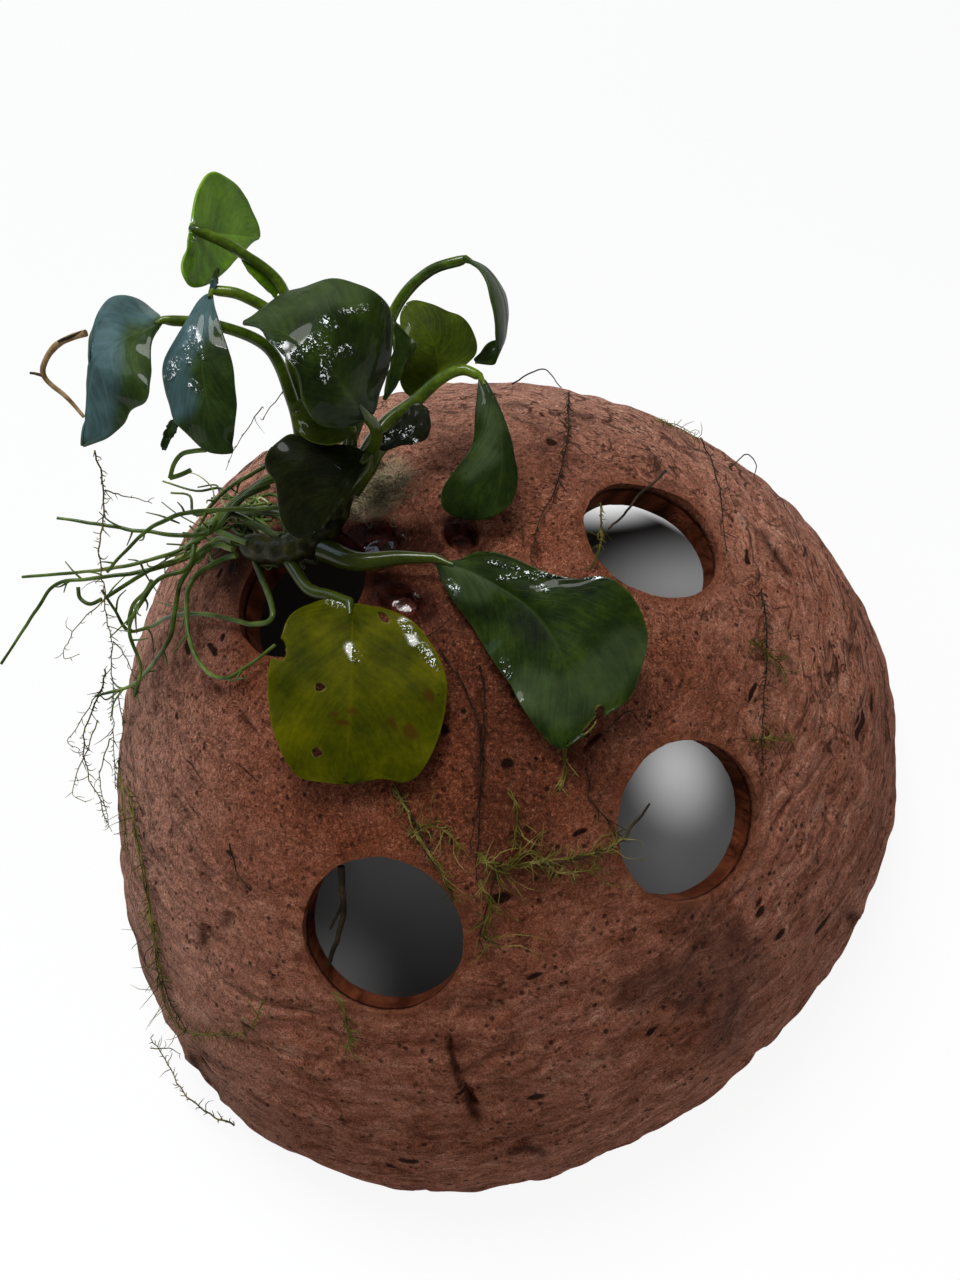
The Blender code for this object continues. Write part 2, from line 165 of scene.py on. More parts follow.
# shader maths as plain sums
class Shade:
    def __init__(self, tree, socket=None):
        self.tree, self.socket = tree, socket

    def node(self, kind, settings=(), inputs=(), out=0):
        made = self.tree.nodes.new(kind)
        for name, value in dict(settings).items():
            if name == "stops":
                ramp = made.color_ramp
                while len(ramp.elements) < len(value):
                    ramp.elements.new(1)
                for element, (place, colour) in zip(ramp.elements, value):
                    element.position, element.color = place, (*colour, 1)
            else:
                setattr(made, name, value)
        for name, value in dict(inputs).items():
            if isinstance(value, Shade):
                self.tree.links.new(value.socket, made.inputs[name])
            elif isinstance(value, (tuple, Vector)) and made.inputs[name].type == "RGBA":
                made.inputs[name].default_value = (*value[:3], 1)
            else:
                made.inputs[name].default_value = value
        return Shade(self.tree, made.outputs[out])

    def maths(self, operation, *values):
        return self.node("ShaderNodeMath", {"operation": operation}, dict(enumerate(values)))

    def __add__(self, other):
        return self.maths("ADD", self, other)

    def __sub__(self, other):
        return self.maths("SUBTRACT", self, other)

    def __rsub__(self, other):
        return self.maths("SUBTRACT", other, self)

    def __mul__(self, other):
        return self.maths("MULTIPLY", self, other)

    def __truediv__(self, other):
        return self.maths("DIVIDE", self, other)

    def __pow__(self, other):
        return self.maths("POWER", self, other)

    def __abs__(self):
        return self.maths("ABSOLUTE", self)

    __radd__, __rmul__ = __add__, __mul__

    def step(self, low, high, start=0.0, end=1.0):
        return self.node("ShaderNodeMapRange", {"interpolation_type": "SMOOTHSTEP"},
                         {"Value": self, 1: low, 2: high, 3: start, 4: end})

    def most(self, other):
        return self.maths("MAXIMUM", self, other)

    def axes(self):
        parts = self.tree.nodes.new("ShaderNodeSeparateXYZ")
        self.tree.links.new(self.socket, parts.inputs[0])
        return [Shade(self.tree, parts.outputs[k]) for k in range(3)]

    def vector(self, x, y, z):
        return self.node("ShaderNodeCombineXYZ", {}, {0: x, 1: y, 2: z})

    def vectorMaths(self, operation, other, out=0):
        return self.node("ShaderNodeVectorMath", {"operation": operation}, {0: self, 1: other}, out)

    def scaled(self, amount):
        return self.node("ShaderNodeVectorMath", {"operation": "SCALE"}, {0: self, "Scale": amount})

    def stretched(self, x, y, z):
        return self.vectorMaths("MULTIPLY", (x, y, z))

    def moved(self, x, y, z):
        return self.vectorMaths("ADD", self.vector(x, y, z))

    def grain(self, scale, detail=3.0, rough=0.55, twist=0.0):
        return self.node("ShaderNodeTexNoise", {}, {"Vector": self, "Scale": scale, "Detail": detail,
                                                    "Roughness": rough, "Distortion": twist})

    # the distance to the nearest cell's middle, or, with out=1, the cell's own random colour
    def cells(self, scale, out=0):
        return self.node("ShaderNodeTexVoronoi", {}, {"Vector": self, "Scale": scale}, out)

    # colour between two, with this value as the share of the second
    def mixed(self, first, second):
        return self.node("ShaderNodeMix", {"data_type": "RGBA"}, {0: self, 6: first, 7: second}, 2)

    # this colour under layers, each its share and the colour it lays on
    def under(self, *layers):
        colour = self
        for share, laid in layers:
            colour = share.mixed(colour, laid)
        return colour

    def ramp(self, *stops):
        return self.node("ShaderNodeValToRGB", {"stops": stops}, {0: self})

    def bump(self, strength, distance, under=None):
        inputs = {"Height": self, "Strength": strength, "Distance": distance * mm}
        if under:
            inputs["Normal"] = under
        return self.node("ShaderNodeBump", {}, inputs)


# a material with its Principled shader, and the piece's own coordinates in millimetres
def newMaterial(name):
    material = bpy.data.materials.new(name)
    material.use_nodes = True
    tree = material.node_tree
    place = Shade(tree).node("ShaderNodeTexCoord", {}, {}, 3).scaled(1000.0)
    return material, tree.nodes["Principled BSDF"], place


def attribute(place, name):
    return place.node("ShaderNodeAttribute", {"attribute_name": name}, {}, 2)


def connect(shader, **values):
    names = dict(colour="Base Color", rough="Roughness", normal="Normal", coat="Coat Weight",
                 coatRough="Coat Roughness", specular="Specular IOR Level")
    for name, value in values.items():
        socket = shader.inputs[names[name]]
        if isinstance(value, Shade):
            value.tree.links.new(value.socket, socket)
        else:
            socket.default_value = (*value, 1) if isinstance(value, tuple) else value


def addPiece(name, mesh, materials, replaces=None):
    piece = bpy.data.objects.new(name, mesh)
    bpy.context.scene.collection.objects.link(piece)
    inBox = np.clip(meshPoints(mesh), cadBox[0], cadBox[1])
    mesh.vertices.foreach_set("co", inBox.ravel())
    slots = np.zeros(len(mesh.polygons), np.int32)
    mesh.polygons.foreach_get("material_index", slots)
    mesh.materials.clear()
    for material in materials:
        mesh.materials.append(material)
    mesh.polygons.foreach_set("material_index", np.minimum(slots, len(materials) - 1))
    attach(piece, "root")
    if replaces:
        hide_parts(replaces)
    return piece


# an object goes, with its mesh or curve
def remove(thing):
    data = thing.data
    bpy.data.objects.remove(thing)
    (bpy.data.curves if isinstance(data, bpy.types.Curve) else bpy.data.meshes).remove(data)


# the mesh of an object as its modifiers or its curve make it; the object goes
def baked(thing):
    bpy.context.view_layer.update()
    graph = bpy.context.evaluated_depsgraph_get()
    mesh = bpy.data.meshes.new_from_object(thing.evaluated_get(graph))
    remove(thing)
    return mesh


# the mesh of a body that bmesh has built; the body goes
def meshOf(body, name):
    mesh = bpy.data.meshes.new(name)
    body.to_mesh(mesh)
    body.free()
    return mesh


# cuts a body at a height, and drops what lies below if clear is set
def cutAt(body, height, clear=False):
    whole = body.verts[:] + body.edges[:] + body.faces[:]
    return bmesh.ops.bisect_plane(body, geom=whole, plane_co=(0, 0, height), plane_no=(0, 0, 1),
                                  clear_inner=clear)


# fills the open rim of a body, and turns its faces outward
def closeRim(body, rim):
    bmesh.ops.contextual_create(body, geom=rim)
    bmesh.ops.triangulate(body, faces=[f for f in body.faces if len(f.verts) > 4])
    bmesh.ops.recalc_face_normals(body, faces=body.faces)


def looseObject(mesh, name="work"):
    thing = bpy.data.objects.new(name, mesh)
    bpy.context.scene.collection.objects.link(thing)
    return thing


# one mesh of round tubes. Each path is a list of points with a radius for each, in metres
def tubes(paths, sides=1):
    line = bpy.data.curves.new("line", "CURVE")
    line.dimensions, line.bevel_depth, line.bevel_resolution = "3D", 1.0, sides
    line.use_fill_caps = True
    for points, radii in paths:
        spline = line.splines.new("POLY")
        spline.points.add(len(points) - 1)
        for knot, point, radius in zip(spline.points, points, radii):
            knot.co, knot.radius = (*point, 1), radius
    mesh = baked(looseObject(line))
    mesh.shade_smooth()
    return mesh


# several meshes as one, each with its own material slot
def joined(meshes, slots):
    whole = bmesh.new()
    for mesh, slot in zip(meshes, slots):
        before = len(whole.faces)
        whole.from_mesh(mesh)
        whole.faces.ensure_lookup_table()
        for face in whole.faces[before:]:
            face.material_index = slot
            face.smooth = True
        bpy.data.meshes.remove(mesh)
    return meshOf(whole, "joined")


def setFloats(mesh, name, values):
    layer = mesh.attributes.new(name, "FLOAT", "POINT")
    layer.data.foreach_set("value", np.asarray(values, np.float32))


def meshPoints(mesh):
    flat = np.zeros(len(mesh.vertices) * 3)
    mesh.vertices.foreach_get("co", flat)
    return flat.reshape(-1, 3)


def noiseAt(points, scale):
    return np.array([noise.noise(Vector(p)) for p in points * scale])


# the shell
print("shell")
shellLook = dict(
    outerCuts=128, innerCuts=60, lumps=0.32, ripple=0.3, fibre=0.30, inset=0.46, lipRound=0.55,
    # how far the ring pattern is drawn out around the nut, and how much further it reaches at the
    # back, where y goes from the first to the second place in mm
    ringSpread=0.34, backReach=0.30, back=(-5, 25),
    slits=90, slitAreas=[(430, 800, 390, 560), (560, 860, 430, 760), (110, 250, 600, 900)],
    holes=dict(besideEyes=(169.0, 23.0, 18.0), backRight=(17.0, 23.5, 17.8),
               frontRight=(-51.9, 37.8, 18.8), frontLeft=(-112.0, 42.3, 18.6)),
    # each pocket: middle and half sizes in the frame, its lean in degrees, and its depth in mm
    eyes=[(373, 538, 32, 19, -8, 1.7), (399, 599, 25, 17, 12, 1.5), (460, 534, 19, 14, 10, 1.9)],
    # cuts, pits and cracks: line in the frame, half width in pixels, depth in mm
    marks=[([(203, 932), (204, 944)], 6, 0.9), ([(227, 918), (228, 924)], 5, 0.6),
           ([(216, 688), (220, 694)], 5, 0.5), ([(786, 658), (790, 664)], 5, 0.5),
           ([(762, 532), (770, 548), (790, 575)], 4, 0.8), ([(448, 1040), (457, 1078), (474, 1112)], 3, 0.8),
           ([(468, 1102), (478, 1118)], 5, 0.8), ([(572, 414), (592, 417)], 4, 0.5),
           ([(532, 446), (548, 449)], 4, 0.5), ([(507, 404), (523, 406)], 4, 0.5),
           ([(480, 690), (482, 750), (478, 820)], 3, 0.4), ([(510, 1152), (528, 1148), (543, 1153)], 5, 0.7),
           ([(192, 1058), (202, 1078), (216, 1092)], 5, 1.0), ([(850, 915), (862, 925)], 6, 0.8),
           ([(836, 538), (846, 556)], 5, -0.5), ([(184, 1060), (196, 1084), (208, 1096)], 5, -0.6)],
    # damp dark patches, which also paint the shade under the leaves and at the lower right, the dark soaked
    # ground around the stem, partly painted shade under the stem and leaves, and the dusty patch under the
    # mat of fibres: line and half width in pixels
    damp=[([(705, 930), (735, 960), (690, 985)], 34), ([(728, 1000), (722, 1030)], 26),
          ([(470, 650), (500, 740), (520, 860)], 42), ([(420, 640), (470, 600)], 30),
          ([(640, 990), (690, 960)], 24), ([(560, 700), (600, 780)], 30)],
    soaked=[([(335, 520), (350, 548), (425, 548)], 26), ([(238, 570), (262, 622)], 24),
            ([(375, 590), (420, 606)], 26), ([(452, 524), (468, 544)], 20), ([(225, 545), (330, 560)], 26)],
    dust=[([(390, 474), (374, 490), (360, 504)], 28)])


def holeAxis(turn, tilt):
    turn, tilt = math.radians(turn), math.radians(tilt)
    return shellPoint(tilt, turn), shellNormal(tilt, turn)


# two sideways directions and the pole that the nut's fibres run from
def nutFrame():
    tilt, turn = nut["poleTilt"], nut["poleTurn"]
    pole = Vector((math.sin(tilt) * math.cos(turn), math.sin(tilt) * math.sin(turn), math.cos(tilt)))
    first = pole.orthogonal().normalized()
    return np.array([first, pole.cross(first), pole])


def lineDistance(pixels, line):
    best = np.full(len(pixels), 1e9)
    for a, b in zip(line, line[1:]):
        a, b = np.array(a, float), np.array(b, float)
        t = np.clip((pixels - a) @ (b - a) / max((b - a) @ (b - a), 1e-9), 0, 1)
        best = np.minimum(best, np.linalg.norm(pixels - a - t[:, None] * (b - a), axis=1))
    return best


# seeded slits along the nut's rings, clear of the holes: line in the frame, half width in pixels,
# depth in mm
def ringSlits(dice, count):
    pole, made, clear = Vector(nutFrame()[2]), [], 3
    drilled = [(*holeAxis(turn, tilt), width / 2 + clear)
               for turn, tilt, width in shellLook["holes"].values()]
    while len(made) < count:
        left, right, top, bottom = dice.choice(shellLook["slitAreas"])
        x, y = dice.uniform(left, right), dice.uniform(top, bottom)
        point = over(x, y)
        missed = (Vector(seen(np.array([point]))[0]) - Vector((x, y))).length > 3
        half = dice.uniform(0.5, 2.2) * mm
        wide, deep = dice.uniform(1.5, 2.5), dice.uniform(0.25, 0.65)
        if missed or any((point - centre).cross(way).length < reach * mm for centre, way, reach in drilled):
            continue
        ring = pole.cross(point - nut["centre"]).normalized()
        ends = seen(np.array([point - ring * half, point, point + ring * half]))
        made.append(([tuple(end) for end in ends], wide, deep))
    return made


# how far out in an eye's pocket each pixel is: 0 in the middle and 1 on its edge
def eyeDistance(pixels, eye):
    x, y, wide, high, lean, depth = eye
    c, s = math.cos(math.radians(lean)), math.sin(math.radians(lean))
    across = (pixels[:, 0] - x) * c + (pixels[:, 1] - y) * s
    along = (pixels[:, 1] - y) * c - (pixels[:, 0] - x) * s
    return np.hypot(across / wide, along / high)


# a cube cut into a fine grid on each side and blown up to a unit ball
def ballOfCube(cuts):
    ball = bmesh.new()
    bmesh.ops.create_cube(ball, size=2)
    bmesh.ops.subdivide_edges(ball, edges=ball.edges[:], cuts=cuts, use_grid_fill=True)
    for vert in ball.verts:
        vert.co = Vector([math.tan(c * math.pi / 4) for c in vert.co]).normalized()
    cutAt(ball, -0.12, True)
    return ball


# a finer grid within an angle of the directions to some places
def refine(ball, places, angle):
    spots = kdtree.KDTree(len(places))
    for number, spot in enumerate(places):
        spots.insert((spot - nut["centre"]).normalized(), number)
    spots.balance()
    close = {vert for vert in ball.verts if spots.find(vert.co.normalized())[2] < angle}
    edges = [edge for edge in ball.edges if all(vert in close for vert in edge.verts)]
    bmesh.ops.subdivide_edges(ball, edges=edges, cuts=1, use_grid_fill=True)


shellLook["marks"] += ringSlits(random.Random(3), shellLook["slits"])


# the nut's outside as a closed body: lumps, fibre ridges, eye pockets, cuts and pits
def shellSkin():
    ball = ballOfCube(shellLook["outerCuts"])
    refine(ball, [holeAxis(turn, tilt)[0] for turn, tilt, width in shellLook["holes"].values()], 0.20)
    refine(ball, [over(*eye[:2]) for eye in shellLook["eyes"]], 0.085)
    refine(ball, [over(*line[len(line) // 2]) for line, wide, depth in shellLook["marks"]], 0.05)
    skin = meshOf(ball, "skin")
    ways = meshPoints(skin)
    ways /= np.linalg.norm(ways, axis=1)[:, None]
    tilt, turn = np.arccos(np.clip(ways[:, 2], -1, 1)), np.arctan2(ways[:, 1], ways[:, 0])
    reach = shellReach(tilt, turn)
    points = np.array(nut["centre"]) + ways * reach[:, None]
    own = ways @ nutFrame().T
    off = np.hypot(own[:, 0], own[:, 1]) + 0.02
    lean = np.arctan2(off, own[:, 2])
    around = own[:, :2] / off[:, None] * shellLook["ringSpread"]
    rings = np.column_stack([around, lean])
    rim = between(lean + shellLook["backReach"] * between(points[:, 1] / mm, *shellLook["back"]), 0.45, 1.0)
    groove = np.clip(0.10 - np.abs(noiseAt(rings + 3, 7.5)), 0, 1) / 0.10 * (noiseAt(ways, 5.0) > 0)
    rise = (-shellLook["inset"] + shellLook["lumps"] * noiseAt(ways, 3.1) * 0.8
            + shellLook["ripple"] * noiseAt(ways, 9.0) * 0.6
            + shellLook["fibre"] * rim * (noiseAt(rings, 13.0) + 0.8 * noiseAt(rings + 7, 27.0))
            + 0.35 * shellLook["fibre"] * noiseAt(ways, 26.0) + 0.40 * rim * noiseAt(ways + 2, 15.0)
            - 0.5 * rim * groove)
    pixels = seen(points)
    facing = ((np.array(lookout["place"]) - points) * ways).sum(1) > 0
    for eye in shellLook["eyes"]:
        out = eyeDistance(pixels, eye)
        rise -= np.where(facing, eye[5] * (1 - between(out, 0.45, 1.12)), 0)
        rise += np.where(facing, 0.35 * np.exp(-((out - 1.25) / 0.2) ** 2), 0)
    for line, wide, depth in shellLook["marks"]:
        rise -= np.where(facing, depth * np.exp(-(lineDistance(pixels, line) / wide) ** 2), 0)
    chips = np.clip(noiseAt(np.stack([np.cos(turn), np.sin(turn), ways[:, 2] * 0.3], 1), 14.0) - 0.05, 0, 1)
    rise -= 2.2 * chips * (1 - between(points[:, 2], 0.2 * mm, 2.2 * mm))
    points += ways * (rise * mm)[:, None]
    skin.vertices.foreach_set("co", points.ravel())
    body = bmesh.new()
    body.from_mesh(skin)
    bpy.data.meshes.remove(skin)
    cut = cutAt(body, 0, True)["geom_cut"]
    closeRim(body, [e for e in cut if isinstance(e, bmesh.types.BMEdge)])
    return meshOf(body, "shell")


# the hollow as a closed body, a little uneven, that reaches down past the saw cut
def shellHollow():
    ball = ballOfCube(shellLook["innerCuts"])
    for vert in ball.verts:
        way = vert.co.normalized()
        tilt, turn = way.angle(Vector((0, 0, 1))), math.atan2(way.y, way.x)
        uneven = (0.35 * noise.noise(way * 4) + 0.12 * noise.noise(way * 13)) * mm
        vert.co = nut["centre"] + way * (shellReach(tilt, turn) - nut["wall"] + uneven)
    closeRim(ball, [e for e in ball.edges if e.is_boundary])
    return meshOf(ball, "hollow")


# the four drilled holes as one mesh: flared at the outer lip, and faintly ridged inside
def shellDrills():
    whole = bmesh.new()
    levels = (-7, -6, -5, -4, -3, -2.4, -1.8, -1.4, -1.1, -0.9, -0.7, -0.5, -0.3, -0.1, 0.2, 0.6, 1.5)
    for number, (turn, tilt, width) in enumerate(shellLook["holes"].values()):
        centre, way = holeAxis(turn, tilt)
        drill = bmesh.new()
        bmesh.ops.create_cone(drill, cap_ends=True, segments=112, radius1=1, radius2=1, depth=20 * mm)
        for level in levels:
            cutAt(drill, level * mm)
        for vert in drill.verts:
            angle, level = math.atan2(vert.co.y, vert.co.x), vert.co.z / mm
            ring = Vector((math.cos(angle) * 2, math.sin(angle) * 2, number * 7.0))
            wobble = 0.14 * noise.noise(ring * 1.3) + 0.07 * noise.noise(ring * 4)
            wobble += 0.06 * noise.noise(ring * 9 + Vector((0, 0, level * 0.8)))
            rounding = shellLook["lipRound"] * (1 + 0.5 * noise.noise(ring * 2 + Vector((3, 1, 2))))
            t = min(1.0, max(0.0, (level + 0.36 + rounding) / rounding))
            flare = rounding * (1 - math.sqrt(max(0.0, 1 - t * t)))
            vert.co.xy = Vector((math.cos(angle), math.sin(angle))) * (width / 2 + wobble + flare) * mm
        turned = Vector((0, 0, 1)).rotation_difference(way).to_matrix().to_4x4()
        turned.translation = centre
        bmesh.ops.transform(drill, matrix=turned, verts=drill.verts)
        bmesh.ops.recalc_face_normals(drill, faces=drill.faces)
        part = meshOf(drill, "drill")
        whole.from_mesh(part)
        bpy.data.meshes.remove(part)
    return meshOf(whole, "drills")


def shellMesh():
    body, hollow, drills = (looseObject(m) for m in (shellSkin(), shellHollow(), shellDrills()))
    for cutter in (hollow, drills):
        cut = body.modifiers.new("cut", "BOOLEAN")
        cut.operation, cut.solver, cut.object = "DIFFERENCE", "MANIFOLD", cutter
    mesh = baked(body)
    remove(hollow)
    remove(drills)
    return mesh


# what the shell's finish reads at each point: depth under the skin, distance from a hole's wall,
# eyes, marks and patches
def shellMasks(mesh):
    points = meshPoints(mesh)
    offset = points - np.array(nut["centre"])
    reach = np.linalg.norm(offset, axis=1)
    tilt, turn = np.arccos(np.clip(offset[:, 2] / reach, -1, 1)), np.arctan2(offset[:, 1], offset[:, 0])
    depth = (shellReach(tilt, turn) - reach) / mm
    pixels = seen(points)
    facing = (((np.array(lookout["place"]) - points) * offset).sum(1) > 0) & (depth < 3)
    hole = np.full(len(points), 50.0)
    for around, lean, width in shellLook["holes"].values():
        centre, way = holeAxis(around, lean)
        away = points - np.array(centre)
        along = away @ np.array(way)
        off = np.linalg.norm(away - along[:, None] * np.array(way), axis=1) / mm - width / 2
        hole = np.where(np.abs(along) < 15 * mm, np.minimum(hole, off), hole)
    eyes = np.zeros(len(points))
    for eye in shellLook["eyes"]:
        eyes = np.maximum(eyes, np.where(facing, 1 - between(eyeDistance(pixels, eye), 0.8, 1.15), 0))
    marks = np.zeros(len(points))
    for line, wide, deep in shellLook["marks"]:
        if deep > 0:
            cut = np.exp(-(lineDistance(pixels, line) / wide) ** 2) * min(1.0, deep + 0.2)
            marks = np.maximum(marks, np.where(facing, cut, 0))
    for name, values in (("depth", depth), ("hole", hole), ("eye", eyes), ("mark", marks)):
        setFloats(mesh, name, values)
    # patches fade out from inside their width to past it, in pixels
    rough = noiseAt(points / mm, 0.35) * 9 + noiseAt(points / mm + 40, 1.1) * 4
    for name, inner, outer in (("damp", 16, 12), ("soaked", 14, 6), ("dust", 19.6, 0)):
        patch = np.zeros(len(points))
        for line, wide in shellLook[name]:
            fade = 1 - between(lineDistance(pixels, line) + rough, wide - inner, wide + outer)
            patch = np.maximum(patch, np.where(facing, fade, 0))
        setFloats(mesh, name, patch)


def shellFinish():
    material, shader, place = newMaterial("coconutHusk")
    away = place.vectorMaths("SUBTRACT", nut["centre"] / mm)
    x, y, z = (away.vectorMaths("DOT_PRODUCT", Vector(way), 1) for way in nutFrame())
    reach = ((x * x + y * y) ** 0.5) + 0.5
    lean = place.maths("ARCTAN2", reach, z)
    spread = shellLook["ringSpread"]
    warped = place.grain(0.10, 2) * 0.10
    rings = place.vector(x / reach * spread, y / reach * spread, lean).moved(warped, warped, warped)
    right, behind = place.axes()[:2]
    back, side = behind.step(*shellLook["back"]), right.step(-54, -24, 1.0, 0.0)
    rim = (lean + back * shellLook["backReach"]).step(0.45, 0.95)
    # relief: grooves and elongated pits around the nut, worm tracks, crumbs and pin holes
    ringCoarse, ringFine = rings.grain(13, 4, 0.6, 0.4), rings.grain(42, 4, 0.65, 0.6)
    front = behind.step(-48, -5, 0.22, 1.0)
    groove = (abs(rings.grain(8.5, 3, 0.6, 0.7) - 0.5).step(0.0, 0.024, 1.0, 0.0)
              * place.grain(0.09, 2).step(0.30, 0.46) * front)
    scar = (abs(rings.grain(22, 3, 0.6, 0.9) - 0.5).step(0.0, 0.034, 1.0, 0.0)
            * place.grain(0.16, 2).step(0.38, 0.54) * front)
    worm = abs(place.grain(0.85, 4, 0.65, 1.8) - 0.5) * 2
    crumb, fine = place.grain(2.1, 5, 0.7, 0.8), place.grain(5.5, 3, 0.7, 0.5)
    blotch, patch = place.grain(0.050, 4, 0.6), place.grain(0.19, 4, 0.6)
    # a cell's chance sets how wide its pit or slit is
    bent = rings.moved(patch * 0.02, 0.0, patch * 0.02)
    width = bent.cells(21.0, 1).axes()[0].step(0.30, 1.0) ** 2 * 0.26 + 0.02
    pits = (bent.cells(21.0) / width).step(0.65, 1.0, 1.0, 0.0)
    drawnOut = bent.stretched(0.42, 0.42, 1.0)
    width = drawnOut.cells(27.0, 1).axes()[0].step(0.35, 1.0) * 0.30 + 0.02
    slits = (drawnOut.cells(27.0) / width).step(0.55, 1.0, 1.0, 0.0)
    slits = slits * (back.most(side * 0.8) * 0.90 + 0.10) * rim
    tiny = place.cells(0.85).step(0.20, 0.33, 1.0, 0.0) * place.grain(0.35, 2, 0.5, 1.0).step(0.45, 0.60)
    depth, hole, eye, mark, damp, dust, soaked = (
        attribute(place, name) for name in ("depth", "hole", "eye", "mark", "damp", "dust", "soaked"))
    inside = depth.step(1.15, 2.0)
    tone = rim.mixed(crumb, ringFine).axes()[0] * 0.50 + crumb * 0.10 + patch * 0.14 + fine * 0.26
    skin = tone.ramp((0.37, (0.082, 0.0190, 0.0065)), (0.45, (0.215, 0.056, 0.023)),
                     (0.54, (0.370, 0.110, 0.052)), (0.63, (0.60, 0.225, 0.120)))
    pale = tone.ramp((0.37, (0.215, 0.068, 0.037)), (0.45, (0.525, 0.196, 0.116)),
                     (0.54, (0.765, 0.338, 0.222)), (0.63, (0.92, 0.54, 0.39)))
    # paler away from the eyes and in blotches; paler towards the back is painted light, where the light falls
    paleAndLit = lean.step(0.35, 1.05) * 0.70 + blotch.step(0.36, 0.62) * 0.30 + behind * 0.0092
    # painted light: a pale wash on the back and the left side of the shell
    paintedLightWash = behind.step(5, 55).most(side)
    # darker tones for the damp patches and the soaked ground, both partly painted shade
    dampShadeSkin = tone.ramp((0.40, (0.050, 0.0115, 0.0045)), (0.50, (0.135, 0.036, 0.0165)),
                         (0.60, (0.280, 0.092, 0.048)))
    soakedShadeSkin = tone.ramp((0.40, (0.014, 0.0024, 0.0012)), (0.50, (0.052, 0.0100, 0.0052)),
                           (0.62, (0.125, 0.032, 0.0180)))
    dark = pits.most(tiny * 0.80).most(slits * 0.9).most(mark * 0.9)
    dark = dark.most(groove * rim * 0.85).most(scar * 0.6)
    wall = rings.grain(30, 3).ramp((0.35, (0.045, 0.0095, 0.0028)), (0.65, (0.185, 0.050, 0.021)))
    lip = hole.step(0.2, 1.7, 1.0, 0.0) * (1 - inside)
    eyeSkin = place.grain(0.7, 3).ramp((0.35, (0.022, 0.0036, 0.0020)), (0.65, (0.125, 0.0250, 0.0150)))
    skin = skin.under((paleAndLit, pale), (paintedLightWash * crumb.step(0.3, 0.6) * 0.50, (0.92, 0.60, 0.46)),
                      (damp * 0.62, dampShadeSkin), (soaked * 0.88, soakedShadeSkin),
                      (worm.step(0.0, 0.12, 1.0, 0.0) * 0.60, (0.050, 0.0140, 0.0062)),
                      (crumb.step(0.56, 0.68) * fine.step(0.5, 0.62) * 0.5, (0.80, 0.42, 0.24)),
                      (dust * (crumb * 1.9 - 0.15), (0.46, 0.36, 0.22)),
                      (dark * 0.93, (0.010, 0.0028, 0.0014)), (inside, wall),
                      (lip * 0.5, (0.230, 0.066, 0.028)), (eye, eyeSkin))
    rough = 0.80 + crumb * 0.12 - inside * 0.30 - eye * 0.66 - damp * 0.22 - soaked * 0.20
    rise = (ringCoarse * 0.70 + ringFine * (rim * 0.35 + 0.40) + worm * 0.65 + patch * 0.8 - pits
            - tiny * 0.5 - slits * 1.1 - groove * rim * 0.9 - scar * 0.5 - mark * 0.2) * (1 - inside * 0.85)
    ripple = place.grain(1.1, 2) * eye
    grit = (crumb * 0.7 + fine * 0.4) * (1 - inside * 0.7)
    normal = ripple.bump(0.8, 0.9, grit.bump(1.0, 0.60, rise.bump(1.0, 2.0)))
    connect(shader, colour=skin, rough=rough, normal=normal, coat=eye * 0.9, coatRough=0.08, specular=0.07)
    return material


shellData = shellMesh()
shellMasks(shellData)
shellData.shade_smooth()
shellData.set_sharp_from_angle(angle=math.radians(58))
addPiece("shell", shellData, [shellFinish()], "coconut_shell")
print("shell triangles", sum(len(p.vertices) - 2 for p in shellData.polygons))


# the creeping stem
print("stem")
stemLine = sightPath(over(258, 556, 2.35), over(292, 560, 2.2), over(322, 552, 2.6), (336, 512, 149.0),
                     (344, 472, 147.5))
stemLook = dict(radius=1.9, gap=0.25, tip=0.8, steps=14)


def bud(along, right, up, toward, clear=0.0):
    path = smoothPath(stemLine, 6)
    return (path[round(along * (len(path) - 1))]
            + viewDirection(right, up, toward) * (stemLook["radius"] - stemLook["gap"] + clear) * mm)


# 1 at the stem's middle and 0 from some distance in mm: how deep in shade and old growth a place is
def shaded(place, low, high):
    return place.vectorMaths("DISTANCE", stemLine[2] / mm, 1).step(low, high, 1.0, 0.0)


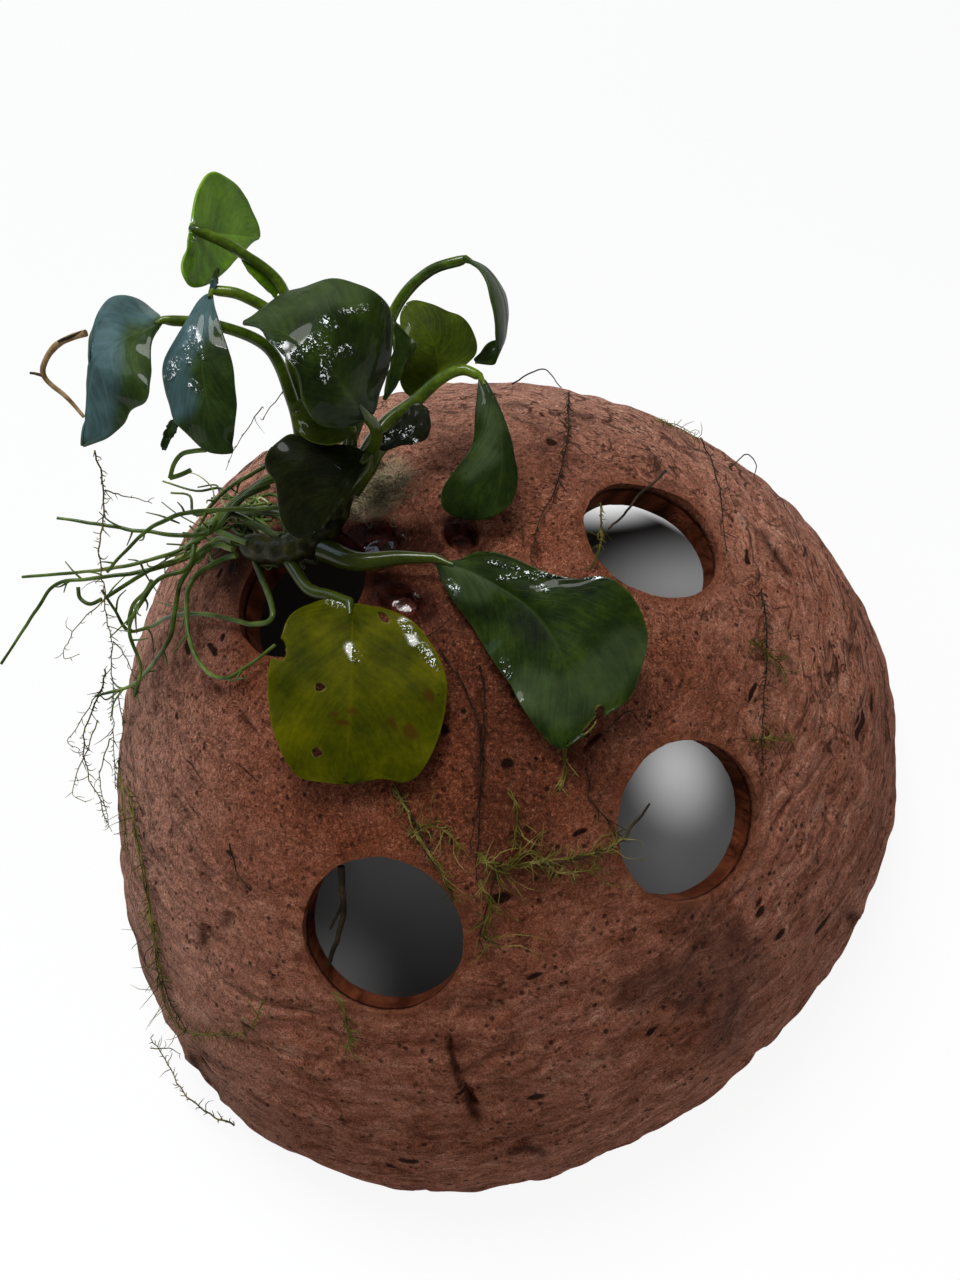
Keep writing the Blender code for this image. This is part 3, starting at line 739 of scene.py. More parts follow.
# the finishes of all that is thin: the mottle's grain, a finer fleck with its share, the stops and
# tones of the colours, the grit's grain with its bump, and the shade: from where to where it fades
# in mm from the stem, its strength and its colour
rootSkin = dict(mottle=(0.22, 4, 0.6), stops=(0.34, 0.5, 0.68), shade=(3, 16, 0.7, (0.022, 0.026, 0.002)),
                rough=0.42, grit=(2.5, 3), bump=(0.35, 0.12),
                gloss=dict(coat=0.3, coatRough=0.12, specular=0.15))
mossy = dict(mottle=(0.35, 4), stops=(0.32, 0.5, 0.68), rough=0.65, grit=(4, 2), bump=(0.2, 0.1),
             gloss=dict(specular=0.1))
fibreLooks = dict(
    stemBark=dict(mottle=(0.7, 4), stops=(0.3, 0.5, 0.72), rough=0.42, grit=(2.2, 4), bump=(0.5, 0.4),
                  gloss=dict(coat=0.15, coatRough=0.12, specular=0.15),
                  tones=((0.006, 0.006, 0.0006), (0.018, 0.019, 0.0015), (0.054, 0.046, 0.008))),
    stalkSkin=dict(mottle=(0.16, 3), fleck=(1.6, 3, 0.3), stops=(0.36, 0.5, 0.64),
                   shade=(8, 27, 0.84, (0.020, 0.023, 0.0012)), rough=0.38, grit=(2.5, 3), bump=(0.3, 0.15),
                   gloss=dict(coat=0.45, coatRough=0.08, specular=0.12),
                   tones=((0.018, 0.034, 0.0008), (0.048, 0.086, 0.002), (0.120, 0.185, 0.009))),
    greenRoot=dict(rootSkin, tones=((0.020, 0.036, 0.002), (0.062, 0.108, 0.010), (0.165, 0.225, 0.040))),
    paleRoot=dict(rootSkin, tones=((0.10, 0.12, 0.03), (0.27, 0.29, 0.10), (0.55, 0.52, 0.30))),
    mossOlive=dict(mossy, tones=((0.030, 0.026, 0.003), (0.095, 0.082, 0.011), (0.26, 0.215, 0.060))),
    mossPale=dict(mossy, tones=((0.050, 0.042, 0.020), (0.150, 0.125, 0.066), (0.34, 0.29, 0.175))),
    mossDark=dict(mossy, tones=((0.008, 0.0045, 0.002), (0.020, 0.012, 0.006), (0.048, 0.030, 0.014))),
    twigTan=dict(mottle=(0.6, 4), stops=(0.32, 0.5, 0.7), rough=0.6, grit=(3, 3), bump=(0.4, 0.15),
                 gloss=mossy["gloss"],
                 tones=((0.085, 0.045, 0.016), (0.20, 0.125, 0.052), (0.38, 0.26, 0.13))))


def fibreFinish(name):
    material, shader, place = newMaterial(name)
    look = fibreLooks[name]
    mottle = place.grain(*look["mottle"])
    if "fleck" in look:
        scale, detail, share = look["fleck"]
        mottle = mottle * (1 - share) + place.grain(scale, detail) * share
    colour = mottle.ramp(*zip(look["stops"], look["tones"]))
    if "shade" in look:
        near, far, strength, dark = look["shade"]
        colour = (shaded(place, near, far) * strength).mixed(colour, dark)
    connect(shader, colour=colour, rough=look["rough"], normal=place.grain(*look["grit"]).bump(*look["bump"]),
            **look["gloss"])
    return material


def stemMesh():
    path = smoothPath(stemLine, stemLook["steps"])
    radii = []
    for k, point in enumerate(path):
        t = k / (len(path) - 1)
        ring = 0.10 * math.sin(t * 60) + 0.25 * noise.noise(point / mm * 0.35)
        end = min(1.0, 0.55 + 6 * t, 0.5 + 6 * (1 - t))
        radii.append((stemLook["radius"] * (1 - (1 - stemLook["tip"]) * t) + ring) * end * mm)
    return tubes([(path, radii)], 6)


addPiece("stem", stemMesh(), [fibreFinish("stemBark")], "creeping_stem")


# the leaves
print("leaves")
bladeLook = dict(thickness=0.38, across=30, along=48, stalkEnd=0.60, stalkFoot=0.85)
# each leaf: its stalk, the rib of its blade and the blade's two edges from stalk to tip, as
# places in the frame; "left" and "right" are half-widths in mm where an edge isn't given
# the wet lines mark wet patches that also get painted glints, white flecks in the colour, and the sheen lines
# mark a painted sheen, a reflection painted into the colour
leaves = {
    "leaf_back_bright": dict(
        stalk=sightPath(bud(0.93, -0.8, 0.5, -0.3), (310, 430, 148.5), (292, 370, 145), (284, 292, 141),
                        (240, 252, 138.5), (193, 228, 137)),
        rib=sightPath((191, 230, 137), (214, 233, 140.6), (238, 236, 144.6), (259, 238, 148.4)),
        edges=[[(190, 226), (193, 205), (197, 186), (208, 172), (222, 177), (234, 185), (244, 199),
                (253, 216), (258, 231), (259, 238)],
               [(189, 234), (186, 248), (180, 262), (178, 275), (185, 287), (197, 288), (212, 281),
                (227, 268), (241, 253), (253, 241), (259, 238)]],
        facing=(0.85, 0, 0.52), cup=0.12, wave=0.15, finish="bright", foot=0.72,
        wet=[([(191, 222), (192, 238)], 4)],
        flaps=[dict(rib=sightPath((243, 258, 138.8), (256, 270, 139.4), (268, 284, 140.2), (276, 298, 141)),
                    edges=[[(252, 262), (266, 274), (278, 288), (276, 298)],
                           [(245, 266), (254, 278), (266, 290), (276, 298)]],
                    facing=(0.1, 0.3, 0.9), cup=0, wave=0.1)]),
    "leaf_far_left": dict(
        stalk=sightPath(bud(0.84, -0.97, 0.2, 0.1), (306, 456, 146), (292, 400, 144), (268, 348, 141.5),
                        (215, 325, 139), (163, 320, 137)),
        rib=sightPath((161, 321, 137), (140, 332, 135.5), (118, 343, 135.0), (100, 357, 135.0),
                      (91, 375, 135.2), (88, 400, 136), (86, 425, 137), (84, 446, 138)),
        edges=[[(158, 312), (145, 297), (132, 289), (119, 287), (106, 290), (97, 299), (91, 313),
                (88, 335), (88, 356), (87, 378), (86.5, 402), (85.5, 425), (84, 446)],
               [(157, 329), (151, 342), (149, 356), (147, 373), (142, 388), (136, 401), (125, 410),
                (119, 421), (110, 432), (101, 440), (84, 446)]],
        facing=(-0.35, 0.35, 0.87), cup=-0.3, wave=0.3, finish="blue", foot=0.85,
        sheen=[([(140, 300), (112, 298), (98, 330), (94, 390), (90, 420)], 24)]),
    "leaf_left": dict(
        stalk=sightPath(bud(0.92, -0.55, 0.2, 0.8), (322, 440, 143.3), (306, 370, 141.5),
                        (282, 322, 139.5), (243, 296, 138), (212, 290, 137.5)),
        rib=sightPath((211, 293, 137.5), (205, 315, 135), (202, 345, 134), (204, 380, 134),
                      (211, 415, 135), (220, 440, 136.5), (233, 452, 137.5)),
        edges=[[(207, 294), (197, 303), (184, 321), (171, 341), (160, 357), (157, 371), (160, 390),
                (166, 406), (172, 422), (183, 433), (199, 448), (213, 454), (233, 452)],
               [(213, 300), (218, 319), (223, 336), (229, 354), (232, 371), (234, 392), (235, 416),
                (234, 438), (233, 452)]],
        facing=(-0.15, 0.35, 0.92), cup=-0.45, wave=0.3, finish="blue", foot=0.8,
        wet=[([(176, 362), (170, 375)], 6), ([(192, 332), (198, 345)], 6), ([(186, 345), (189, 362)], 3),
             ([(200, 352), (204, 358)], 3), ([(192, 384), (198, 388)], 4)],
        sheen=[([(207, 300), (190, 325), (172, 352), (166, 372), (176, 400)], 20)],
        flaps=[dict(rib=sightPath((172, 420, 138.5), (167, 431, 138.6), (164, 441, 138.8), (164, 450, 139)),
                    edges=[[(168, 425), (164, 436), (162, 445), (164, 450)],
                           [(179, 426), (174, 433), (169, 444), (164, 450)]],
                    facing=(0.1, 0.2, 0.95), cup=0, wave=0.3),
               dict(rib=sightPath((212, 292, 137.3), (213, 284, 137.0), (215, 276, 136.8),
                                  (218, 268, 136.6)),
                    edges=[[(209, 290), (211, 283), (214, 275), (218, 268)],
                           [(215, 291), (217, 284), (218, 276), (218, 268)]],
                    facing=(0, 0.2, 0.95), cup=-0.2, wave=0.1)]),
    "leaf_centre": dict(
        stalk=sightPath(bud(0.97, 0.4, 0.3, 0.85), (372, 448, 141.5), (376, 430, 138.5), (366, 416, 136.5)),
        rib=sightPath((366, 418, 136.5), (345, 386, 132.5), (315, 354, 130), (282, 334, 130.5),
                      (243, 324, 134)),
        edges=[[(374, 412), (380, 395), (391, 373), (397, 350), (399, 328), (397, 308), (386, 295),
                (370, 283), (352, 276), (332, 273), (312, 277), (297, 282), (283, 286), (265, 300),
                (252, 312), (243, 323)],
               [(352, 427), (330, 428), (312, 416), (303, 398), (301, 380), (293, 364), (280, 351),
                (268, 339), (262, 327), (256, 323), (243, 324)]],
        facing=(0.05, 0.35, 0.93), cup=-0.22, wave=0.35, finish="dark", foot=0.9,
        wet=[([(290, 360), (308, 345), (318, 338)], 7), ([(320, 338), (327, 355), (324, 378)], 5),
             ([(340, 352), (350, 348)], 5), ([(343, 311), (365, 308)], 3), ([(325, 320), (333, 326)], 4),
             ([(272, 345), (285, 345)], 4), ([(387, 301), (389, 302)], 3)],
        sheen=[([(248, 320), (275, 300), (320, 286), (355, 286)], 20)],
        flaps=[dict(rib=sightPath((394, 318, 135.2), (400, 345, 135.4), (395, 372, 136.2),
                                  (384, 400, 137.2)),
                    edges=[[(394, 330), (393, 352), (388, 376), (384, 400)],
                           [(403, 330), (411, 337), (417, 346), (410, 356), (404, 366), (400, 380),
                            (384, 400)]],
                    facing=(0.3, 0.2, 0.9), cup=-0.2, wave=0.3)]),
    "leaf_behind_right": dict(
        stalk=sightPath(bud(0.97, 0.9, 0.3, -0.45), (384, 448, 153), (404, 420, 153), (424, 392, 152)),
        rib=sightPath((424, 392, 152), (437, 372, 150.8), (436, 350, 150), (426, 330, 149.6),
                      (406, 306, 150)),
        edges=[[(432, 388), (444, 380), (455, 370), (467, 364), (477, 354), (478, 341), (472, 326),
                (461, 314), (446, 309), (430, 302), (415, 299), (406, 304)],
               [(414, 397), (405, 394), (400, 384), (401, 368), (403, 350), (401, 330), (400, 315),
                (406, 306)]],
        facing=(0.1, 0.3, 0.95), cup=-0.2, wave=0.2, finish="olive", foot=0.6),
    "leaf_arching": dict(
        stalk=sightPath(bud(1.0, -0.1, 1.0, -0.1), (358, 420, 147), (378, 352, 145.5), (400, 301, 143.5),
                        (430, 271, 141.5), (466, 259, 140.5)),
        rib=sightPath((466, 257, 140.5), (486, 269, 140.2), (501, 295, 140.3), (505, 325, 141),
                      (499, 350, 142.3), (475, 362, 144)),
        left=(0.5, 2.0, 3.3, 3.0, 1.8, 0.2), right=(0.5, 1.9, 3.0, 2.8, 1.5, 0.2), sweep=0.3,
        facing=(0.90, 0.30, 0.33), cup=-0.35, wave=0.15, finish="dark", foot=0.8,
        sheen=[([(480, 264), (500, 295), (505, 325)], 6)]),
    "leaf_over_eye": dict(
        stalk=sightPath(bud(0.98, 0.9, 0.35, 0.0), (384, 426, 149.5), (414, 402, 149.5), (440, 379, 149),
                        (462, 370, 148.4), (480, 376, 148)),
        rib=sightPath((480, 376, 148), (492, 400, 146.9), (500, 430, 146.4), (502, 460, 146.1),
                      (499, 490, 146), (490, 517, 146.2)),
        edges=[[(486, 381), (494, 396), (503, 415), (510, 435), (515, 455), (518, 475), (515, 495),
                (507, 508), (490, 518)],
               [(478, 381), (477, 396), (475, 415), (474, 438), (468, 452), (455, 468), (443, 485),
                (441, 502), (448, 512), (462, 519), (478, 520), (490, 518)]],
        facing=(0.05, 0.15, 0.98), cup=-0.5, wave=0.2, finish="dark", foot=1.0,
        sheen=[([(486, 392), (494, 425), (488, 450)], 7), ([(492, 455), (468, 472)], 5)]),
    "leaf_small_round": dict(
        stalk=sightPath(bud(0.94, -0.3, 0.6, 0.6), (350, 452, 144.5), (352, 430, 142.5)),
        rib=sightPath((352, 426, 142.5), (334, 425, 140.8), (314, 420, 140.2), (292, 413, 140.8)),
        edges=[[(347, 416), (328, 405), (310, 398), (300, 398), (294, 403), (292, 413)],
               [(352, 434), (341, 442), (326, 444), (309, 440), (297, 430), (292, 413)]],
        facing=(0, 0.3, 0.95), cup=-0.2, wave=0.1, finish="olive", wet=[([(312, 402), (326, 408)], 2)]),
    "leaf_shaded": dict(
        stalk=sightPath(bud(0.86, 0.5, -0.1, 0.9), (364, 474, 143), (368, 456, 141.5)),
        rib=sightPath((368, 456, 141.5), (349, 476, 140.3), (333, 500, 140.5), (317, 531, 142.0)),
        edges=[[(352, 446), (330, 442), (306, 437), (287, 432), (270, 446), (262, 460), (264, 471),
                (272, 480), (276, 497), (278, 514), (286, 530), (300, 539), (317, 532)],
               [(365, 466), (352, 488), (338, 508), (326, 526), (317, 532)]],
        facing=(-0.1, 0.1, 0.98), cup=-0.12, wave=0.45, finish="deep"),
    "leaf_small_dark": dict(
        stalk=sightPath(bud(0.88, 0.95, 0.0, 0.35), (374, 462, 146), (376, 446, 145.2)),
        rib=sightPath((376, 446, 145.2), (393, 438, 144.4), (412, 428, 144.0), (428, 410, 144.5)),
        edges=[[(382, 436), (396, 424), (408, 408), (418, 403), (428, 410)],
               [(384, 451), (399, 446), (415, 443), (427, 437), (431, 424), (428, 410)]],
        facing=(0, 0.2, 0.97), cup=-0.2, wave=0.2, finish="deep",
        wet=[([(378, 443), (392, 434), (412, 428)], 3), ([(405, 437), (415, 442)], 3)]),
    "leaf_right": dict(
        stalk=[bud(0.5, 0.75, -0.6, 0.35, 0.6), over(364, 573, 2.6), over(402, 569, 2.4),
               over(438, 569, 2.4)],
        rib=shellPath((438, 569, 2.4), (486, 593, 3.4), (532, 628, 4.2), (560, 680, 4.0), (562, 748, 2.6)),
        edges=[[(443, 563), (460, 560), (475, 553), (490, 551), (510, 556), (530, 565), (550, 573),
                (575, 577), (598, 575), (613, 578), (627, 588), (638, 602), (646, 620), (649, 636),
                (646, 656), (640, 676), (634, 694), (622, 706), (606, 716), (590, 732),
                (575, 742), (562, 749)],
               [(438, 575), (446, 590), (456, 604), (467, 621), (479, 641), (491, 659), (503, 676),
                (511, 687), (518, 702), (529, 718), (541, 733), (552, 744), (562, 749)]],
        facing=(0, -0.1, 1), cup=-0.2, wave=0.4, foot=1.5, finish="dark",
        wet=[([(490, 562), (520, 568), (545, 590)], 2), ([(504, 664), (508, 674)], 4),
             ([(450, 583), (456, 590)], 4), ([(500, 578), (530, 574), (600, 577)], 2)],
        holes=[([(599, 708), (601, 724)], 2.2), ([(586, 731), (597, 718)], 1.6)],
        sheen=[([(530, 690), (560, 705), (600, 680), (630, 650)], 24), ([(455, 575), (480, 590)], 12)]),
    "leaf_yellow": dict(
        stalk=[bud(0.28, 0.2, -0.95, 0.15), over(316, 596, 1.9), over(338, 604, 2.2),
               over(358, 612, 2.6)],
        rib=shellPath((360, 614, 2.6), (363, 650, 3.4), (362, 700, 3.6), (358, 745, 3.2), (352, 783, 2.4)),
        edges=[[(352, 606), (340, 603), (326, 599), (311, 601), (297, 606), (286, 616), (279, 634),
                (271, 652), (266, 672), (265, 695), (269, 722), (277, 746), (287, 766), (300, 779),
                (318, 782), (338, 784), (352, 783)],
               [(367, 606), (383, 608), (400, 614), (415, 622), (428, 637), (440, 656), (447, 680),
                (446, 705), (441, 730), (433, 753), (421, 773), (405, 783), (380, 779), (352, 783)]],
        facing=(-0.1, -0.1, 0.99), cup=-0.12, wave=0.35, finish="yellow",
        wet=[([(350, 648), (356, 658)], 5), ([(404, 622), (414, 642)], 4), ([(423, 648), (434, 664)], 5),
             ([(330, 602), (342, 606)], 3)],
        holes=[([(320, 687), (320.5, 687)], 4.0), ([(316, 752), (317, 752)], 3.6),
               ([(276, 646), (279, 652)], 7.5), ([(282, 625), (280, 629)], 3.2),
               ([(383, 616), (386, 620)], 3.0)],
        stains=[([(428, 694), (430, 697)], 5), ([(409, 730), (412, 734)], 7), ([(333, 714), (336, 714)], 2.5),
                ([(349, 711), (356, 711)], 2), ([(336, 722), (348, 723)], 2), ([(391, 720), (394, 726)], 3)]),
}


def lengthsAlong(path):
    run = [0.0]
    for a, b in zip(path, path[1:]):
        run.append(run[-1] + (b - a).length)
    return [r / run[-1] for r in run]


def pointAlong(path, lengths, t):
    k = min(int(np.searchsorted(lengths, t, side="right")) - 1, len(path) - 2)
    return path[k].lerp(path[k + 1], (t - lengths[k]) / max(lengths[k + 1] - lengths[k], 1e-9))


# where the sight line through a pixel meets the plane through a point
def sightOnPlane(pixel, point, normal):
    ray = sight(pixel.x, pixel.y, 1000) - lookout["place"]
    return lookout["place"] + ray * ((point - lookout["place"]).dot(normal) / ray.dot(normal))


# a blade: a fine grid drawn out between its rib and its two edges, waved, cupped and thickened
def bladeMesh(leaf, seed):
    blade = bmesh.new()
    finer = 2 if "holes" in leaf else 1
    bmesh.ops.create_grid(blade, x_segments=bladeLook["across"] * finer,
                          y_segments=bladeLook["along"] * finer, size=1)
    flat = blade.loops.layers.uv.new("leaf")
    for face in blade.faces:
        face.smooth = True
        for loop in face.loops:
            loop[flat].uv = (loop.vert.co.x * 0.5 + 0.5, loop.vert.co.y * 0.5 + 0.5)
    rib = smoothPath(leaf["rib"], 30)
    ribRun = lengthsAlong(rib)
    facing = viewDirection(*leaf["facing"])
    sides = []
    for edge in leaf.get("edges", []):
        start = seen(np.array([rib[0]]))[0]
        line = smoothPath([Vector(p) for p in [start, *edge]], 6)
        sides.append((line, lengthsAlong(line)))
    for vert in blade.verts:
        u, t = vert.co.x, (vert.co.y + 1) / 2
        centre = pointAlong(rib, ribRun, t)
        index = min(max(int(np.searchsorted(ribRun, t)), 3), len(rib) - 4)
        ahead = (rib[index + 3] - rib[index - 3]).normalized()
        side = ahead.cross(facing).normalized()
        out = side.cross(ahead)
        if sides:
            line, run = sides[0 if u < 0 else 1]
            edge = sightOnPlane(pointAlong(line, run, t), centre, out)
            width = (edge - centre).length / mm
            across = width * abs(u)
            point = centre.lerp(edge, abs(u))
        else:
            width = max(smoothValue(leaf["left" if u < 0 else "right"], t), 0.2)
            across = abs(u) * width
            point = centre + side * u * width * mm - ahead * leaf["sweep"] * u * u * (1 - t) ** 2 * mm
        ruffle = noise.noise(Vector((u * 1.2, t * 7, seed))) * abs(u) ** 2
        lift = (leaf["cup"] * across ** 2 / (2 * width + 0.01) + leaf["wave"] * ruffle * 2.2
                + 0.5 * leaf["wave"] * noise.noise(Vector((u * width * 0.35, t * 5, seed + 9)))
                + 0.10 * math.sin(t * 40 + abs(u) * 9) * abs(u) * (1 - abs(u)) * leaf["wave"]
                - 0.20 * math.exp(-(across / 0.5) ** 2) * (1 - t))
        vert.co = point + out * lift * mm
    if "holes" in leaf:
        spots = seen(np.array([face.calc_center_median() for face in blade.faces]))
        spots = spots + np.array([[noise.noise(Vector((x * 0.25, y * 0.25, 1))) * 2.0,
                                   noise.noise(Vector((x * 0.25, y * 0.25, 5))) * 2.0] for x, y in spots])
        gone = np.zeros(len(spots), bool)
        for line, wide in leaf["holes"]:
            gone |= lineDistance(spots, line) < wide
        bmesh.ops.delete(blade, geom=[f for f, out in zip(blade.faces[:], gone) if out], context="FACES")
        for turn in range(3):
            torn = [v for v in blade.verts if v.is_boundary]
            bmesh.ops.smooth_vert(blade, verts=torn, factor=0.5,
                                  use_axis_x=True, use_axis_y=True, use_axis_z=True)
    sheet = looseObject(meshOf(blade, "blade"))
    thick = sheet.modifiers.new("thick", "SOLIDIFY")
    thick.thickness, thick.offset = bladeLook["thickness"] * mm, 0
    if "holes" not in leaf:
        rounder = sheet.modifiers.new("rounder", "SUBSURF")
        rounder.levels = rounder.render_levels = 1
    return baked(sheet)


def stalkMesh(leaf):
    path = smoothPath(leaf["stalk"], 10)
    thin, thick = bladeLook["stalkEnd"], leaf.get("foot", bladeLook["stalkFoot"])
    path = path + [path[-1] + (smoothPath(leaf["rib"], 8)[k] - leaf["rib"][0]) for k in (1, 2, 3)]
    radii = []
    for k, point in enumerate(path):
        t = k / (len(path) - 1)
        radius = thick + (thin - thick) * min(1, 1.15 * t) + 0.04 * noise.noise(point / mm * 0.4)
        radii.append(radius * (1 - 0.6 * between(t, 0.9, 1.0)) * mm)
    return tubes([(path, radii)], 4)


# what a leaf's finish reads at each point: where it is wet, with painted glints, where it is torn and
# stained, and where a painted sheen lies. Each mask has its name, its lines in the leaf and how softly it
# ends, in pixels
def leafMasks(mesh, leaf):
    pixels = seen(meshPoints(mesh))
    for name, key, soft in (("wet", "wet", 1.6), ("torn", "holes", 2.2), ("stain", "stains", 1.2),
                            ("sheen", "sheen", 9)):
        mask = np.zeros(len(pixels))
        for line, wide in leaf.get(key, []):
            away = lineDistance(pixels, line)
            mask = np.maximum(mask, 1 - between(away, wide * 0.6, wide * 0.6 + soft + wide * 0.4))
        setFloats(mesh, name, mask)


# each kind's tones, with the colour of its painted sheen, a reflection painted into the colour, and how
# strongly that sheen is laid on
leafTones = dict(
    dark=dict(low=(0.0030, 0.0075, 0.0003), mid=(0.0105, 0.0220, 0.0007), high=(0.030, 0.054, 0.0025),
              sheen=(0.050, 0.076, 0.028), vein=0.10, coat=0.14, paintedSheenShare=0.55),
    # blue: the leaves at the left, their tones tinted bluish and their painted sheen sky-blue, for the
    # reflection of the blue light
    blue=dict(low=(0.0060, 0.0140, 0.0012), mid=(0.0180, 0.0360, 0.0040), high=(0.040, 0.072, 0.014),
              sheen=(0.062, 0.120, 0.150), vein=0.16, coat=0.22, paintedSheenShare=0.62),
    # bright: the paler back of a leaf, made lighter still for painted light shining through it
    bright=dict(low=(0.034, 0.082, 0.001), mid=(0.078, 0.175, 0.002), high=(0.140, 0.280, 0.008),
                sheen=(0.10, 0.20, 0.10), vein=0.22, coat=0.12, paintedSheenShare=0.6),
    olive=dict(low=(0.016, 0.026, 0.0004), mid=(0.034, 0.052, 0.0008), high=(0.078, 0.110, 0.003),
               sheen=(0.08, 0.11, 0.02), vein=0.22, coat=0.12, paintedSheenShare=0.6),
    # deep: a darker copy of the dark tones, for the leaves that lie in shade: painted shade
    deep=dict(low=(0.0020, 0.0036, 0.0002), mid=(0.0062, 0.0080, 0.0004), high=(0.018, 0.024, 0.001),
              sheen=(0.03, 0.04, 0.01), vein=0.2, coat=0.12, paintedSheenShare=0.6),
    yellow=dict(low=(0.018, 0.023, 0.0002), mid=(0.042, 0.045, 0.0002), high=(0.085, 0.082, 0.0006),
                sheen=(0.10, 0.11, 0.02), vein=0.10, coat=0.0, paintedSheenShare=0.6, gloss=0.02))


def leafFinish(name, kind):
    material, shader, place = newMaterial(name)
    tones = leafTones[kind]
    flat = place.node("ShaderNodeUVMap", {"uv_map": "leaf"})
    u, v = flat.axes()[:2]
    across = abs(u * 2 - 1)
    run = v * 13 - across * 5.0 + place.grain(0.35, 2) * 1.6
    side = abs(place.maths("FRACT", run) - 0.5) * 2
    vein = side.step(0.0, 0.22, 1.0, 0.0) * across.step(0.02, 0.15) * across.step(0.7, 1.0, 1.0, 0.0)
    rib = across.step(0.0, 0.05, 1.0, 0.0) * v.step(0.75, 1.0, 1.0, 0.0)
    mottle, fine = place.grain(0.22, 5, 0.55), place.grain(2.0, 4, 0.6)
    streak = place.vector(across * 3.0, v * 26 - across * 9.0, place.axes()[2] * 0.05).grain(1.0, 3, 0.6)
    wet, torn, stain, sheen = (attribute(place, name) for name in ("wet", "torn", "stain", "sheen"))
    colour = (mottle * 0.60 + fine * 0.15 + streak * 0.25).ramp(
        (0.36, tones["low"]), (0.5, tones["mid"]), (0.66, tones["high"]))
    edge = across.step(0.955, 0.995)
    red, green, blue = tones["high"]
    specks = place.cells(0.55).step(0.05, 0.11, 1.0, 0.0) * place.grain(0.3, 1).step(0.56, 0.64)
    # painted glints: white flecks in the colour where the leaf is wet
    paintedGlints = place.grain(2.3, 2, 0.6, 1.2).step(0.585, 0.62) * wet
    # over the leaf's own colour: veins, rib, a painted sheen (a reflection painted in), a lighter edge,
    # specks, torn rims, stains and painted glints
    colour = colour.under(
        (vein * tones["vein"], tones["high"]), (rib * 0.35, tones["high"]),
        (sheen * (streak * 1.2 + mottle * 1.2 - 0.35) * tones["paintedSheenShare"], tones["sheen"]),
        (edge * 0.40, (red * 1.5, green * 1.4, blue * 3)), (specks * 0.6, (0.012, 0.008, 0.0006)),
        (torn * 0.75, (0.19, 0.15, 0.035)), (stain * 0.75, (0.045, 0.017, 0.002)),
        (paintedGlints, (0.86, 0.92, 0.92)))
    rise = mottle * 0.5 + fine * 0.16 + streak * 0.3 + vein * 0.10 - rib * 0.25
    drops = place.grain(2.3, 2, 0.5) * wet
    normal = drops.bump(1.0, 0.25, rise.bump(0.5, 0.30))
    connect(shader, colour=colour, rough=0.46 + fine * 0.14, normal=normal,
            coat=wet * 0.9 + tones["coat"], coatRough=0.06, specular=tones.get("gloss", 0.08))
    return material


stalkSkin = fibreFinish("stalkSkin")
leafSkins = {kind: leafFinish(kind + "Leaf", kind) for kind in leafTones}
for seed, (name, leaf) in enumerate(leaves.items()):
    flaps = [bladeMesh(flap, seed * 2.3) for flap in leaf.get("flaps", [])]
    mesh = joined([bladeMesh(leaf, seed * 3.7), stalkMesh(leaf), *flaps], [0, 1] + [0] * len(flaps))
    leafMasks(mesh, leaf)
    addPiece(name.replace("leaf_", "blade_"), mesh, [leafSkins[leaf["finish"]], stalkSkin], name)


# the roots
print("roots")
# half thickness in mm, the share of it left at a tip, and how many rootlets a main root has
rootLook = dict(radius=0.38, tip=0.5, rootlets=6, looseRadius=0.27)
# the tangle: pixel ranges that its roots start and end in, their heights over the shell in mm, how
# far they bow in pixels, and how far along its sight line each may lie. Then each kind's count and
# thickness range in mm
tangleLook = dict(startX=(245, 325), startY=(500, 570), endX=(160, 262), endY=(476, 572),
                  rise=(0.8, 5.0), low=(0.4, 2.0), bow=20, furthest=161,
                  green=(30, 0.14, 0.30), pale=(7, 0.12, 0.22))
roots = {
    "root_long_upper": sightPath(bud(0.5, -0.73, 0.65, 0.2), over(292, 530, 3.4), over(232, 531, 2.8),
                                 (188, 545, 160), (150, 560, 159.5), (100, 570, 159), (22, 577, 159)),
    "root_longest": sightPath(bud(0.0, -1, 0.3, 0.0), over(228, 547, 1.8), (190, 556, 163.5),
                              (150, 570, 162.5), (104, 577, 162), (57, 584, 162), (38, 608, 162),
                              (1, 664, 162)),
    "root_upper_left": sightPath(bud(0.25, -0.1, 0.9, 0.4), over(252, 536, 5.2), (204, 534, 154.5),
                                 (150, 532, 154.5), (100, 524, 154.5), (57, 518, 154.5)),
    "root_top": sightPath(bud(0.68, -0.93, 0.3, 0.25), (300, 506, 150), (262, 509, 151),
                          (200, 511, 151.5), (160, 522, 151.5), (130, 546, 152), (107, 572, 153)),
    "root_low": sightPath(bud(0.1, -0.3, -0.9, -0.2), over(280, 618, 1.4), over(258, 628, 1.2),
                          over(222, 619, 1.2), over(186, 620, 1.6), (150, 627, 166), (128, 630, 165),
                          (116, 612, 164), (102, 590, 163.5)),
    "root_loop": [bud(0.0, -0.7, -0.7, -0.1), over(230, 572, 2.4), over(208, 590, 2.6),
                  over(204, 628, 2.8), over(206, 664, 1.3), over(226, 680, 1.0),
                  over(250, 671, 1.0), over(280, 648, 1.0)],
    "root_lower_left": sightPath(bud(0.0, -0.9, -0.3, 0.4), over(230, 562, 3.6), over(208, 600, 4.4),
                                 over(190, 645, 3.0), over(160, 674, 1.8), (130, 686, 165.5),
                                 (95, 696, 164.5)),
    "root_hanging": sightPath(bud(0.08, -0.7, 0.3, 0.75), over(232, 553, 5.6), (190, 565, 156.5),
                              (158, 580, 156), (143, 600, 156), (129, 628, 157), (141, 666, 158),
                              over(162, 703, 3.8)),
    "root_dark": sightPath(bud(0.97, -0.55, 0.25, -0.8), (318, 452, 153), (298, 440, 153.5),
                           (272, 462, 154.5), (240, 481, 156.5), (215, 501, 159), (199, 526, 161)),
}


